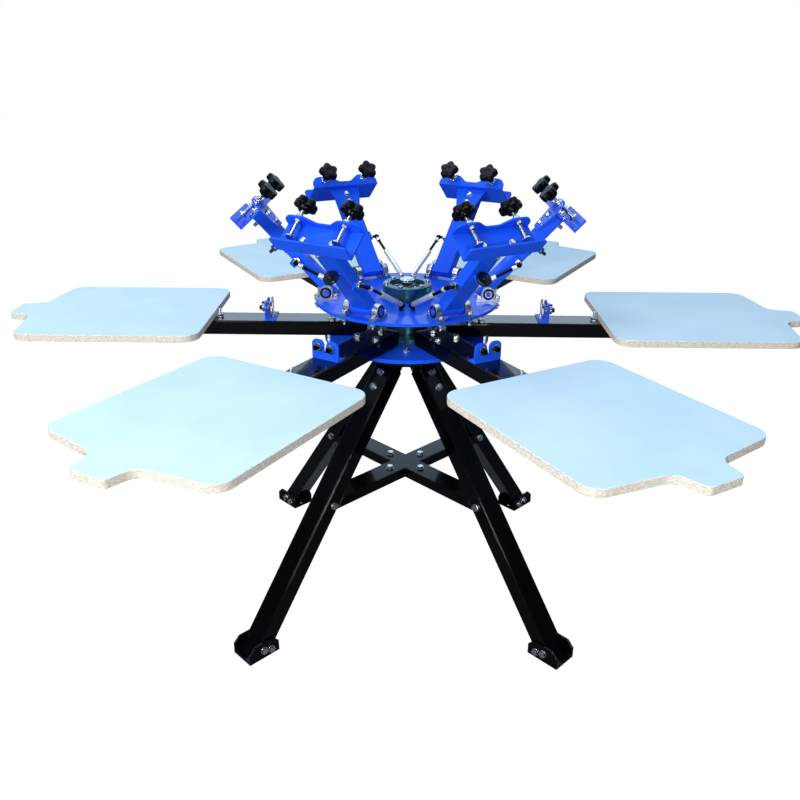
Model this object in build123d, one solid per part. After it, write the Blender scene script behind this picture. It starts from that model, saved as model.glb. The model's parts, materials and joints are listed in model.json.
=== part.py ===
"""Six-colour, six-station carousel screen printing press, turned and printed by hand.

Millimetres, +Z up. The origin is on the floor under the main shaft, and station 1 lies on +X.
u is the distance from the shaft, v the sideways distance from a station's centre line.
"""

from build123d import *
import math
import os

# ------------------------------------------------------------------ driving sizes
STATIONS = 6
RUNNING = 0.05                 # radial clearance of a pin, shaft or screw in its bore
FACING = 0.3                   # clearance between faces of bodies that move past each other

SHAFT_DIAMETER = 32.0

# pallets
PALLET_TOP_Z = 845.0
PALLET_WIDTH = 450.0
PALLET_LENGTH = 555.0
PALLET_THICKNESS = 18.0
PALLET_INNER_U = 530.0
NECK_LENGTH = 63.0
NECK_WIDTH = 88.0
NECK_ROOT_WIDTH = 112.0
SHOULDER_SLOPE = 22.0          # the outer edge runs out this far from shoulder to neck
PALLET_INNER_RADIUS = 42.0
SHOULDER_RADIUS = 38.0
NECK_ROOT_RADIUS = 34.0
NECK_END_RADIUS = 12.0

# station carousel
HUB_DIAMETER = 456.0
HUB_THICKNESS = 10.0
ARM_WIDTH = 80.0
ARM_HEIGHT = 40.0
ARM_WALL = 3.0
ARM_CORNER = 4.0
ARM_LENGTH = 760.0
ARM_GAP = 2.0                  # between an arm's inner end and the bearing's flange
ARM_BOLTS = ((138.0, 0.0), (205.0, 28.0), (205.0, -28.0))
HUB_BOLT_U = 160.0
HUB_FLANGE_DIAMETER = 220.0
HUB_FLANGE_THICKNESS = 13.0
HUB_BARREL_DIAMETER = 118.0
HUB_BARREL_RISE = 34.0
HUB_FOOT_DIAMETER = 120.0
HUB_FOOT_DROP = 22.0
HUB_PLATE_BORE = 90.0
PALLET_STUD_U = 519.0
PALLET_STUD_DIAMETER = 10.0
PALLET_STUD_RISE = 6.0         # stud's end above the pallet tops

# registration gates on the station arms, one for each colour to drop into
GATE_U = 388.0                 # outer face of the upright plate
GATE_WIDTH = 76.0
GATE_THICKNESS = 4.0
GATE_FOOT_LENGTH = 27.0
GATE_STUD_SETBACK = 17.0
GATE_STUD_DIAMETER = 8.0
GATE_STUD_RISE = 54.0          # stud's end above the gate's foot
GATE_RISE = 49.0               # lobe tops above the arm
GATE_LOBE_RADIUS = 13.0
GATE_NOTCH_WIDTH = 7.0
GATE_NOTCH_DEPTH = 34.0
ROLLER_DIAMETER = 22.0
ROLLER_WIDTH = 7.0
ROLLER_BORE = 8.0
ROLLER_SPREAD = 36.0           # between the two roller axles
ROLLER_RISE = 32.0             # roller axles above the arm
ROLLER_SPACER = 1.0
ROLLER_SPACER_DIAMETER = 12.0
AXLE_HEAD_DIAMETER = 13.0
AXLE_HEAD_LENGTH = 9.0

# colour carousel
DISC_DIAMETER = 500.0
DISC_THICKNESS = 8.0
DISC_RISE = 38.0               # disc's underside above the pallet tops
COLOUR_FLANGE_DIAMETER = 146.0
COLOUR_FLANGE_THICKNESS = 9.0
COLOUR_BARREL_DIAMETER = 134.0
COLOUR_BARREL_RISE = 37.0
COLOUR_MOUTH_DIAMETER = 96.0
COLOUR_MOUTH_DEPTH = 24.0
COLOUR_SPIGOT_DIAMETER = 60.0
COLOUR_SPIGOT_DROP = 6.0
COLOUR_BARREL_CHAMFER = 2.0
SHAFT_TOP_RISE = 14.0          # shaft's end above the barrel
SHAFT_CHAMFER = 1.5
SHAFT_NUT_DIAMETER = 42.0
SHAFT_NUT_HEIGHT = 7.0
SHAFT_NUT_SETBACK = 2.0        # nut's face below the shaft's end
COLLAR_DIAMETER = 52.0
COLLAR_HEIGHT = 16.0

# head pivots and pillow blocks
PIVOT_U = 218.0
PIVOT_RISE = 20.0              # pivot axis above the disc
PIVOT_TUBE_DIAMETER = 28.0
PIVOT_TUBE_BORE = 20.0
PILLOW_V = 43.0
PILLOW_WIDTH = 16.0
PILLOW_LENGTH = 62.0
PILLOW_FOOT_HEIGHT = 9.0
PILLOW_DOME_RADIUS = 18.5
PILLOW_CHEEK_WIDTH = 33.0
PILLOW_BOLT_SPAN = 49.0
PILLOW_STUD_DIAMETER = 8.0
PIVOT_TUBE_OVERHANG = 1.0      # pivot tube past the pillow block's face

# printing heads, in the head's own directions: U along the arm, V sideways, W across it
HEAD_RAISED = 47.4
HEAD_ARM_WIDTH = 56.0
HEAD_ARM_HEIGHT = 30.0
HEAD_ARM_BOTTOM_W = -8.0
HEAD_ARM_TAIL_U = -14.0
HEAD_ARM_WALL = 2.5
HEAD_ARM_CHAMFER = 2.0
CLAMP_BACK_U = 268.0
CLAMP_WIDTH = 208.0
CLAMP_PLATE = 4.5
CLAMP_TOP_W = 44.0
CLAMP_BOTTOM_W = -30.0
CLAMP_BOTTOM_DEPTH = 41.0
CLAMP_BOTTOM_RADIUS = 8.0
CLAMP_LOBE_DEPTH = 36.0
CLAMP_SCOOP_DEPTH = 16.0       # flange left at the middle of the top scoop
CLAMP_LOBE_WIDTH = 58.0
CLAMP_LOBE_RADIUS = 25.0
CLAMP_SCOOP_WIDTH = 36.0
CLAMP_SCOOP_RADIUS = 16.0
GUSSET_LENGTH = 62.0
GUSSET_WIDTH = 96.0
GUSSET_THICKNESS = 5.0
GUSSET_BOLT_DEPTHS = (16.0, 44.0)
WEB_BOLT_V = 40.0

# clamp screws
CLAMP_SCREW_U = 292.0
CLAMP_SCREW_V = 64.0
CLAMP_SCREW_DIAMETER = 10.0
CLAMP_NUT_DIAMETER = 17.0
CLAMP_NUT_HEIGHT = 7.0         # a nut on each face of the top flange
CLAMP_PAD_DIAMETER = 22.0
CLAMP_PAD_HEIGHT = 5.0
CLAMP_PAD_W = -5.0
KNOB_BOTTOM_W = 65.0
KNOB_SKIRT_DIAMETER = 34.0
KNOB_SKIRT_HEIGHT = 8.0
KNOB_HEIGHT = 19.0
KNOB_CORE_DIAMETER = 42.0
KNOB_LOBE_DIAMETER = 16.0
KNOB_LOBE_CIRCLE = 41.0
KNOB_LOBES = 5

# registration guide under the head
GUIDE_DIAMETER = 38.0
GUIDE_THICKNESS = 8.0
GUIDE_BRACKET_WIDTH = 34.0
GUIDE_BRACKET_PLATE = 4.0
GUIDE_BRACKET_FOOT = 26.0
GUIDE_BRACKET_LAP = 3.0        # bracket's end below the disc's centre

# off-contact stop under the arm's outer end
STOP_DIAMETER = 12.0
STOP_DROP = 18.0
STOP_U = 252.0

# lift struts: tube hinged on the disc, rod hinged on the head, telescoping
STRUT_V = 60.0
STRUT_ANCHOR_U = 124.0
STRUT_ANCHOR_RISE = 13.0       # anchor pin above the disc
STRUT_LUG_U = 112.0
STRUT_TUBE_DIAMETER = 14.0
STRUT_TUBE_BORE = 10.0
STRUT_TUBE_LENGTH = 112.0
STRUT_TUBE_START = 13.0
STRUT_TUBE_FLOOR = 8.0         # solid end of the tube before its bore
STRUT_ROD_DIAMETER = 8.0
STRUT_ROD_LENGTH = 150.0
STRUT_ROD_LAP = 1.0            # rod's end into the eye's rim
STRUT_EYE_DIAMETER = 13.0
STRUT_EYE_WIDTH = 6.0
STRUT_PIN_DIAMETER = 6.0
STRUT_LUG_WIDTH = 20.0
STRUT_LUG_THICKNESS = 6.0
STRUT_LUG_INSET = 2.0
STRUT_SPINDLE_DIAMETER = 10.0
ANCHOR_POST_WIDTH = 5.0

# stand
LEG_AZIMUTHS = (45.0, 135.0, 225.0, 315.0)
LEG_WIDTH = 65.0
LEG_DEPTH = 45.0
LEG_WALL = 3.0
LEG_CORNER = 4.0
LEG_FOOT_U = 606.0             # leg's outer face, carried down to the floor
LEG_TOP_U = 85.6               # and at the leg's top
LEG_TOP_DROP = 15.7            # leg's top below the stand head's plate
HEAD_PLATE_DIAMETER = 240.0
HEAD_PLATE_THICKNESS = 10.0
HEAD_BOSS_DIAMETER = 130.0
HEAD_BOSS_HEIGHT = 18.0
HEAD_BLOCK_DEPTH = 92.0        # sloped block that the legs are bolted to
BRACE_WIDTH = 62.0
BRACE_HEIGHT = 30.0
BRACE_WALL = 3.0
BRACE_TOP_Z = 379.0
FOOT_PLATE = 5.0
FOOT_LENGTH = 96.0
FOOT_OVERHANG = 8.0            # past the leg's outer face
FOOT_EAR_HEIGHT = 44.0
FOOT_EAR_CHAMFER = 18.0
FOOT_HOLE_DIAMETER = 11.0
FOOT_HOLE_SETBACK = 13.0       # from the foot's inner end
LEG_BOLT_DEPTHS = (22.0, 68.0)             # down a leg from its top
EAR_BOLTS = ((46.0, 26.0), (70.0, 18.0))   # in from a foot's outer end, and above the floor
BRACE_BOLT_U = 64.0

# hexagon bolts: across flats and head height
BOLT_LARGE = (17.0, 7.0)
BOLT_SMALL = (13.0, 5.5)
STUD_DROP = 14.0               # studs below the disc
EDGE_TOLERANCE = 0.05          # for picking out the corners at one value of u

# ------------------------------------------------------------------ derived places
STEP = 360.0 / STATIONS
SHAFT_RADIUS = SHAFT_DIAMETER / 2
SHAFT_BORE_RADIUS = SHAFT_RADIUS + RUNNING
ARM_TOP_Z = PALLET_TOP_Z - PALLET_THICKNESS
HUB_TOP_Z = ARM_TOP_Z - ARM_HEIGHT
HUB_BOTTOM_Z = HUB_TOP_Z - HUB_THICKNESS
HUB_FOOT_Z = HUB_BOTTOM_Z - HUB_FOOT_DROP
ARM_INNER_U = HUB_FLANGE_DIAMETER / 2 + ARM_GAP
DISC_BOTTOM_Z = PALLET_TOP_Z + DISC_RISE
DISC_TOP_Z = DISC_BOTTOM_Z + DISC_THICKNESS
BARREL_TOP_Z = DISC_TOP_Z + COLOUR_BARREL_RISE
SHAFT_TOP_Z = BARREL_TOP_Z + SHAFT_TOP_RISE
PIVOT_Z = DISC_TOP_Z + PIVOT_RISE
HEAD_ARM_TOP_W = HEAD_ARM_BOTTOM_W + HEAD_ARM_HEIGHT
PIVOT_TUBE_HALF = PILLOW_V + PILLOW_WIDTH / 2 + PIVOT_TUBE_OVERHANG
CLAMP_FRONT_U = CLAMP_BACK_U + CLAMP_PLATE
HEAD_BOSS_TOP_Z = HUB_FOOT_Z - FACING
HEAD_PLATE_TOP_Z = HEAD_BOSS_TOP_Z - HEAD_BOSS_HEIGHT
HEAD_PLATE_BOTTOM_Z = HEAD_PLATE_TOP_Z - HEAD_PLATE_THICKNESS
LEG_TOP_Z = HEAD_PLATE_BOTTOM_Z - LEG_TOP_DROP
LEG_SLOPE = (LEG_FOOT_U - LEG_TOP_U) / LEG_TOP_Z
LEG_LEAN = math.degrees(math.atan(LEG_SLOPE))               # from the vertical
LEG_REACH = LEG_DEPTH / math.cos(math.radians(LEG_LEAN))    # leg's depth measured level
FOOT_OUTER_U = LEG_FOOT_U + FOOT_OVERHANG
FOOT_INNER_U = FOOT_OUTER_U - FOOT_LENGTH
FOOT_HOLE_U = FOOT_INNER_U + FOOT_HOLE_SETBACK
ROLLER_Z = ARM_TOP_Z + ROLLER_RISE
ROLLER_FACE_U = GATE_U + ROLLER_SPACER
GUIDE_U = ROLLER_FACE_U + ROLLER_WIDTH / 2 - PIVOT_U
GUIDE_NEST = GUIDE_DIAMETER / 2 + ROLLER_DIAMETER / 2 + FACING
GUIDE_W = ROLLER_Z + math.sqrt(GUIDE_NEST ** 2 - (ROLLER_SPREAD / 2) ** 2) - PIVOT_Z
STRUT_ANCHOR_Z = DISC_TOP_Z + STRUT_ANCHOR_RISE
STRUT_SIDES = (-1, 1, -1, 1, 1, -1)    # side of each head's arm that its strut is on


# ------------------------------------------------------------------ helpers
def write(node, *shapes):
    """Write every solid of some shapes to one STEP file."""
    solids = [solid for shape in shapes for solid in shape.solids()]
    export_step(Compound(children=solids), f"parts/{node}.step")


def around(shape, azimuths):
    """Copies of a shape turned about the main shaft."""
    return [Rot(0, 0, azimuth) * shape for azimuth in azimuths]


def station_azimuths(offset=0.0):
    """Azimuths of the stations, or of places between them."""
    return [offset + STEP * index for index in range(STATIONS)]


def box(u_range, v_range, z_range):
    """A box between three pairs of limits."""
    sizes = [high - low for low, high in (u_range, v_range, z_range)]
    centre = [(low + high) / 2 for low, high in (u_range, v_range, z_range)]
    return Pos(*centre) * Box(*sizes)


def post(diameter, bottom, top):
    """An upright round bar on the local origin."""
    return extrude(Plane.XY.offset(bottom) * Circle(diameter / 2), top - bottom)


def ring(outer, inner, bottom, top):
    """An upright round tube on the local origin."""
    return post(outer, bottom, top) - post(inner, bottom, top)


def cross_bar(diameter, v_from, v_to):
    """A round bar along v, through u = 0 and z = 0."""
    return extrude(Plane.XZ.offset(-v_to) * Circle(diameter / 2), v_to - v_from)


def hexagon_bolt(size, bottom):
    """A hexagon head standing on a face, with two flats across u."""
    flats, height = size
    hexagon = Rot(0, 0, 30) * RegularPolygon(flats / 2, 6, major_radius=False)
    return extrude(Plane.XY.offset(bottom) * hexagon, height)


def side_plate(points, v_from, v_to):
    """A plate with a profile in u and z, between two values of v."""
    profile = Plane.XZ.offset(-v_to) * Polygon(*points, align=None)
    return extrude(profile, v_to - v_from, dir=(0, -1, 0))


def level_plate(outline, bottom, thickness):
    """A level plate with an outline in u and v."""
    return extrude(Plane.XY.offset(bottom) * outline, thickness, dir=(0, 0, 1))


def rounded_at(outline, u, radius):
    """Round the corners of an outline that lie at one value of u."""
    corners = [vertex for vertex in outline.vertices() if abs(vertex.X - u) < EDGE_TOLERANCE]
    return fillet(corners, radius)


def tube_section(width, height, wall, corner):
    """Section of a rectangular tube."""
    inside = RectangleRounded(width - 2 * wall, height - 2 * wall, corner - wall)
    return RectangleRounded(width, height, corner) - inside


# ------------------------------------------------------------------ stand
def leg_frame():
    """Plane across a leg's upper end, with its normal down along the leg."""
    lean = math.radians(LEG_LEAN)
    half = LEG_DEPTH / 2
    centre = (LEG_TOP_U - half * math.cos(lean), 0, LEG_TOP_Z - half * math.sin(lean))
    return Plane(origin=centre, x_dir=(math.cos(lean), 0, math.sin(lean)),
                 z_dir=(math.sin(lean), 0, -math.cos(lean)))


def leg():
    """One leg: a rectangular tube cut level where it stands on its foot."""
    section = tube_section(LEG_DEPTH, LEG_WIDTH, LEG_WALL, LEG_CORNER)
    length = LEG_TOP_Z / math.cos(math.radians(LEG_LEAN)) + LEG_DEPTH
    below = box((0, 2 * LEG_FOOT_U), (-LEG_WIDTH, LEG_WIDTH), (-LEG_FOOT_U, FOOT_PLATE))
    return extrude(leg_frame() * section, length) - below


def foot():
    """One foot: a bent U plate with chamfered ears that grip the leg."""
    half = LEG_WIDTH / 2
    outer = half + FOOT_PLATE
    base = box((FOOT_INNER_U, FOOT_OUTER_U), (-outer, outer), (0, FOOT_PLATE))
    base -= Pos(FOOT_HOLE_U, 0, 0) * post(FOOT_HOLE_DIAMETER, 0, FOOT_PLATE)
    low_corner = FOOT_PLATE + FOOT_EAR_HEIGHT - FOOT_EAR_CHAMFER
    profile = [(FOOT_INNER_U, FOOT_PLATE), (FOOT_OUTER_U, FOOT_PLATE), (FOOT_OUTER_U, low_corner),
               (FOOT_OUTER_U - FOOT_EAR_CHAMFER, FOOT_PLATE + FOOT_EAR_HEIGHT),
               (FOOT_INNER_U + FOOT_EAR_CHAMFER, FOOT_PLATE + FOOT_EAR_HEIGHT),
               (FOOT_INNER_U, low_corner)]
    return base + side_plate(profile, half, outer) + side_plate(profile, -outer, -half)


def leg_inner_u(z):
    """Level distance from the shaft to a leg's inner face."""
    return LEG_FOOT_U - LEG_REACH - z * LEG_SLOPE


def cross_brace():
    """Welded cross of rectangular tube, its ends cut to the legs' slope."""
    bottom = BRACE_TOP_Z - BRACE_HEIGHT
    profile = [(-leg_inner_u(bottom), bottom), (leg_inner_u(bottom), bottom),
               (leg_inner_u(BRACE_TOP_Z), BRACE_TOP_Z), (-leg_inner_u(BRACE_TOP_Z), BRACE_TOP_Z)]
    half = BRACE_WIDTH / 2
    bar = side_plate(profile, -half, half)
    length = 2 * leg_inner_u(bottom)
    hollow = box((-length, length), (-half + BRACE_WALL, half - BRACE_WALL),
                 (bottom + BRACE_WALL, BRACE_TOP_Z - BRACE_WALL))
    first, second = LEG_AZIMUTHS[:2]
    return (Rot(0, 0, first) * bar + Rot(0, 0, second) * bar
            - Rot(0, 0, first) * hollow - Rot(0, 0, second) * hollow)


def stand_head():
    """Round plate and boss over a block with four sloped faces for the legs."""
    block_bottom_z = HEAD_PLATE_BOTTOM_Z - HEAD_BLOCK_DEPTH
    block = loft([Plane.XY.offset(z) * Rectangle(2 * leg_inner_u(z), 2 * leg_inner_u(z))
                  for z in (block_bottom_z, HEAD_PLATE_BOTTOM_Z)])
    plate = post(HEAD_PLATE_DIAMETER, HEAD_PLATE_BOTTOM_Z, HEAD_PLATE_TOP_Z)
    boss = post(HEAD_BOSS_DIAMETER, HEAD_PLATE_TOP_Z, HEAD_BOSS_TOP_Z)
    socket = post(SHAFT_DIAMETER, block_bottom_z, HEAD_BOSS_TOP_Z)
    return Rot(0, 0, LEG_AZIMUTHS[0]) * block + plate + boss - socket


def main_shaft():
    """Fixed shaft with the collar that carries the colour carousel."""
    bottom = HEAD_PLATE_BOTTOM_Z - HEAD_BLOCK_DEPTH
    collar_top = DISC_BOTTOM_Z - COLOUR_SPIGOT_DROP - FACING
    shaft = chamfer(post(SHAFT_DIAMETER, bottom, SHAFT_TOP_Z).edges().group_by(Axis.Z)[-1], SHAFT_CHAMFER)
    return shaft + post(COLLAR_DIAMETER, collar_top - COLLAR_HEIGHT, collar_top)


def stand_bolts():
    """Bolts of the leg tops, the feet and the brace, and the nut on the shaft's end."""
    on_leg = leg_frame() * Pos(LEG_DEPTH / 2, 0, 0) * Rot(0, 90, 0) * hexagon_bolt(BOLT_LARGE, 0)
    lean = math.radians(LEG_LEAN)
    along = [Pos(d * math.sin(lean), 0, -d * math.cos(lean)) * on_leg for d in LEG_BOLT_DEPTHS]
    side = LEG_WIDTH / 2 + FOOT_PLATE
    ears = [Pos(FOOT_OUTER_U - setback, sign * side, z) * Rot(-90 * sign, 0, 0) * hexagon_bolt(BOLT_LARGE, 0)
            for setback, z in EAR_BOLTS for sign in (-1, 1)]
    brace = [Pos(BRACE_BOLT_U, 0, 0) * hexagon_bolt(BOLT_LARGE, BRACE_TOP_Z)]
    nut_top = SHAFT_TOP_Z - SHAFT_NUT_SETBACK
    shaft_nut = ring(SHAFT_NUT_DIAMETER, SHAFT_DIAMETER, nut_top - SHAFT_NUT_HEIGHT, nut_top)
    return [shaft_nut] + [copy for bolt in along + ears + brace for copy in around(bolt, LEG_AZIMUTHS)]


# ------------------------------------------------------------------ station carousel
def pallet():
    """One printing board with rounded shoulders and an outer neck."""
    end_u = PALLET_INNER_U + PALLET_LENGTH
    root_u = end_u - NECK_LENGTH
    shoulder_u = root_u - SHOULDER_SLOPE
    half_outline = [(PALLET_INNER_U, PALLET_WIDTH / 2), (shoulder_u, PALLET_WIDTH / 2),
                    (root_u, NECK_ROOT_WIDTH / 2), (end_u, NECK_WIDTH / 2)]
    mirrored = [(u, -v) for u, v in reversed(half_outline)]
    outline = Polygon(*half_outline, *mirrored, align=None)
    for u, radius in ((PALLET_INNER_U, PALLET_INNER_RADIUS), (shoulder_u, SHOULDER_RADIUS),
                      (root_u, NECK_ROOT_RADIUS), (end_u, NECK_END_RADIUS)):
        outline = rounded_at(outline, u, radius)
    return level_plate(outline, ARM_TOP_Z, PALLET_THICKNESS)


def station_arm():
    """One arm that carries a pallet: a rectangular tube from the hub out."""
    section = tube_section(ARM_WIDTH, ARM_HEIGHT, ARM_WALL, ARM_CORNER)
    place = Plane.YZ.offset(ARM_INNER_U) * Pos(0, ARM_TOP_Z - ARM_HEIGHT / 2, 0)
    return extrude(place * section, ARM_LENGTH)


def arm_end_cap():
    """Plug in the outer end of a station arm."""
    end_u = ARM_INNER_U + ARM_LENGTH
    return box((end_u, end_u + ARM_WALL), (-ARM_WIDTH / 2, ARM_WIDTH / 2), (HUB_TOP_Z, ARM_TOP_Z))


def hub_plate():
    """Round plate under the six arms."""
    return ring(HUB_DIAMETER, HUB_PLATE_BORE, HUB_BOTTOM_Z, HUB_TOP_Z)


def station_bearing():
    """Flanged housing through the hub plate, running on the shaft."""
    flange = post(HUB_FLANGE_DIAMETER, HUB_TOP_Z, HUB_TOP_Z + HUB_FLANGE_THICKNESS)
    barrel = post(HUB_BARREL_DIAMETER, HUB_TOP_Z, HUB_TOP_Z + HUB_BARREL_RISE)
    spigot = post(HUB_PLATE_BORE - 2 * RUNNING, HUB_BOTTOM_Z, HUB_TOP_Z)
    foot_ring = post(HUB_FOOT_DIAMETER, HUB_FOOT_Z, HUB_BOTTOM_Z)
    bore = post(2 * SHAFT_BORE_RADIUS, HUB_FOOT_Z, HUB_TOP_Z + HUB_BARREL_RISE)
    return flange + barrel + spigot + foot_ring - bore


def registration_gate():
    """Bent plate with two round-topped lobes and a slot, standing on a station arm."""
    face = Plane.YZ.offset(GATE_U - GATE_THICKNESS)
    lobe_width = (GATE_WIDTH - GATE_NOTCH_WIDTH) / 2
    lobe_v = (GATE_WIDTH - lobe_width) / 2
    lobe_z = ARM_TOP_Z + GATE_RISE / 2
    notch_z = ARM_TOP_Z + GATE_RISE - GATE_NOTCH_DEPTH + GATE_NOTCH_WIDTH / 2
    lower = Pos(0, (ARM_TOP_Z + notch_z) / 2) * Rectangle(GATE_WIDTH, notch_z - ARM_TOP_Z)
    upright = lower - Pos(0, notch_z) * Circle(GATE_NOTCH_WIDTH / 2)
    for side in (-1, 1):
        upright += Pos(side * lobe_v, lobe_z) * RectangleRounded(lobe_width, GATE_RISE, GATE_LOBE_RADIUS)
        upright -= Pos(side * ROLLER_SPREAD / 2, ROLLER_Z) * Circle(ROLLER_BORE / 2)
    foot_plate = box((GATE_U - GATE_FOOT_LENGTH, GATE_U - GATE_THICKNESS),
                     (-GATE_WIDTH / 2, GATE_WIDTH / 2), (ARM_TOP_Z, ARM_TOP_Z + GATE_THICKNESS))
    return extrude(face * upright, GATE_THICKNESS) + foot_plate


def gate_rollers():
    """The two ball bearings on the outer face of a gate."""
    roller = ring(ROLLER_DIAMETER, ROLLER_BORE, 0, ROLLER_WIDTH)
    spacer = ring(ROLLER_SPACER_DIAMETER, ROLLER_BORE, -ROLLER_SPACER, 0)
    one = Rot(0, 90, 0) * (roller + spacer)
    return [Pos(ROLLER_FACE_U, side * ROLLER_SPREAD / 2, ROLLER_Z) * one for side in (-1, 1)]


def station_bolts():
    """Bolts of the arms, gates, rollers and pallets."""
    arm_bolts = [Pos(u, v, 0) * hexagon_bolt(BOLT_LARGE, ARM_TOP_Z) for u, v in ARM_BOLTS]
    gate_foot_z = ARM_TOP_Z + GATE_THICKNESS
    gate_stud = hexagon_bolt(BOLT_SMALL, gate_foot_z) + post(GATE_STUD_DIAMETER, gate_foot_z,
                                                             gate_foot_z + GATE_STUD_RISE)
    stud_top = PALLET_TOP_Z + PALLET_STUD_RISE
    pallet_stud = hexagon_bolt(BOLT_LARGE, ARM_TOP_Z) + post(PALLET_STUD_DIAMETER, ARM_TOP_Z, stud_top)
    shank = post(ROLLER_BORE - 2 * RUNNING, -ROLLER_SPACER - GATE_THICKNESS, ROLLER_WIDTH)
    axle = Rot(0, 90, 0) * (shank + post(AXLE_HEAD_DIAMETER, ROLLER_WIDTH, ROLLER_WIDTH + AXLE_HEAD_LENGTH))
    nut = Rot(0, -90, 0) * hexagon_bolt(BOLT_SMALL, ROLLER_SPACER + GATE_THICKNESS)
    axles = [Pos(ROLLER_FACE_U, side * ROLLER_SPREAD / 2, ROLLER_Z) * (axle + nut) for side in (-1, 1)]
    sector_bolt = Rot(0, 0, STEP / 2) * Pos(HUB_BOLT_U, 0, 0) * hexagon_bolt(BOLT_LARGE, HUB_TOP_Z)
    gate_stud = Pos(GATE_U - GATE_STUD_SETBACK, 0, 0) * gate_stud
    one_station = arm_bolts + [gate_stud, Pos(PALLET_STUD_U, 0, 0) * pallet_stud, sector_bolt] + axles
    return [copy for bolt in one_station for copy in around(bolt, station_azimuths())]


# ------------------------------------------------------------------ colour carousel
def colour_disc():
    """Round plate that carries the six heads."""
    return ring(DISC_DIAMETER, COLOUR_SPIGOT_DIAMETER + 2 * RUNNING, DISC_BOTTOM_Z, DISC_TOP_Z)


def colour_bearing():
    """Flanged housing with an open mouth, running on the shaft's collar."""
    bottom = DISC_BOTTOM_Z - COLOUR_SPIGOT_DROP
    body = (post(COLOUR_FLANGE_DIAMETER, DISC_TOP_Z, DISC_TOP_Z + COLOUR_FLANGE_THICKNESS)
            + post(COLOUR_BARREL_DIAMETER, DISC_TOP_Z, BARREL_TOP_Z)
            + post(COLOUR_SPIGOT_DIAMETER, bottom, DISC_TOP_Z))
    body = chamfer(body.edges().group_by(Axis.Z)[-1], COLOUR_BARREL_CHAMFER)
    mouth = post(COLOUR_MOUTH_DIAMETER, BARREL_TOP_Z - COLOUR_MOUTH_DEPTH, BARREL_TOP_Z)
    return body - mouth - post(2 * SHAFT_BORE_RADIUS, bottom, BARREL_TOP_Z)


def pillow_block():
    """Cast bearing block with a domed top, bored along v, at the local pivot."""
    dome = Circle(PILLOW_DOME_RADIUS)
    cheeks = Pos(0, -PIVOT_RISE / 2) * Rectangle(PILLOW_CHEEK_WIDTH, PIVOT_RISE)
    foot_block = Pos(0, -PIVOT_RISE + PILLOW_FOOT_HEIGHT / 2) * Rectangle(PILLOW_LENGTH, PILLOW_FOOT_HEIGHT)
    bore = Circle(PIVOT_TUBE_DIAMETER / 2 + RUNNING)
    return extrude(Plane.XZ * (dome + cheeks + foot_block - bore), PILLOW_WIDTH / 2, both=True)


def pillow_bolts():
    """Bolts through a pillow block's foot, with nuts and studs under the disc."""
    head = hexagon_bolt(BOLT_SMALL, DISC_TOP_Z + PILLOW_FOOT_HEIGHT)
    nut = Rot(180, 0, 0) * hexagon_bolt(BOLT_SMALL, -DISC_BOTTOM_Z)
    stud = post(PILLOW_STUD_DIAMETER, DISC_BOTTOM_Z - STUD_DROP, DISC_BOTTOM_Z)
    return [Pos(PIVOT_U + side * PILLOW_BOLT_SPAN / 2, 0, 0) * piece
            for side in (-1, 1) for piece in (head, nut + stud)]


def strut_anchor(side):
    """Post and pin on the disc that a strut's tube hinges on."""
    inner = side * (STRUT_V - STRUT_EYE_WIDTH / 2 - FACING)
    outer = side * (STRUT_V + STRUT_EYE_WIDTH / 2)
    reach = inner - side * ANCHOR_POST_WIDTH
    width = STRUT_EYE_DIAMETER / 2
    lug = box((-width, width), sorted((inner, reach)), (DISC_TOP_Z, STRUT_ANCHOR_Z + width))
    lug = Pos(STRUT_ANCHOR_U, 0, 0) * lug
    pin = Pos(STRUT_ANCHOR_U, 0, STRUT_ANCHOR_Z) * cross_bar(STRUT_PIN_DIAMETER, *sorted((inner, outer)))
    return lug + pin


# ------------------------------------------------------------------ printing heads
def on_head(shape, azimuth):
    """Take a shape from the head's own directions to its raised place."""
    return Rot(0, 0, azimuth) * Pos(PIVOT_U, 0, PIVOT_Z) * Rot(0, -HEAD_RAISED, 0) * shape


def head_arm():
    """Pivot tube welded across a rectangular tube that ends at the clamp."""
    outside = box((HEAD_ARM_TAIL_U, CLAMP_BACK_U), (-HEAD_ARM_WIDTH / 2, HEAD_ARM_WIDTH / 2),
                  (HEAD_ARM_BOTTOM_W, HEAD_ARM_TOP_W))
    outside = chamfer(outside.edges().filter_by(Axis.X), HEAD_ARM_CHAMFER)
    hollow_half = HEAD_ARM_WIDTH / 2 - HEAD_ARM_WALL
    hollow = box((HEAD_ARM_TAIL_U, CLAMP_BACK_U), (-hollow_half, hollow_half),
                 (HEAD_ARM_BOTTOM_W + HEAD_ARM_WALL, HEAD_ARM_TOP_W - HEAD_ARM_WALL))
    pivot = cross_bar(PIVOT_TUBE_DIAMETER, -PIVOT_TUBE_HALF, PIVOT_TUBE_HALF)
    return outside - hollow + pivot - cross_bar(PIVOT_TUBE_BORE, -PIVOT_TUBE_HALF, PIVOT_TUBE_HALF)


def gusset():
    """Flat plate that widens from the arm's top to the clamp's web."""
    inner_u = CLAMP_BACK_U - GUSSET_LENGTH
    outline = Polygon((inner_u, HEAD_ARM_WIDTH / 2), (CLAMP_BACK_U, GUSSET_WIDTH / 2),
                      (CLAMP_BACK_U, -GUSSET_WIDTH / 2), (inner_u, -HEAD_ARM_WIDTH / 2), align=None)
    return level_plate(outline, HEAD_ARM_TOP_W, GUSSET_THICKNESS)


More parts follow.
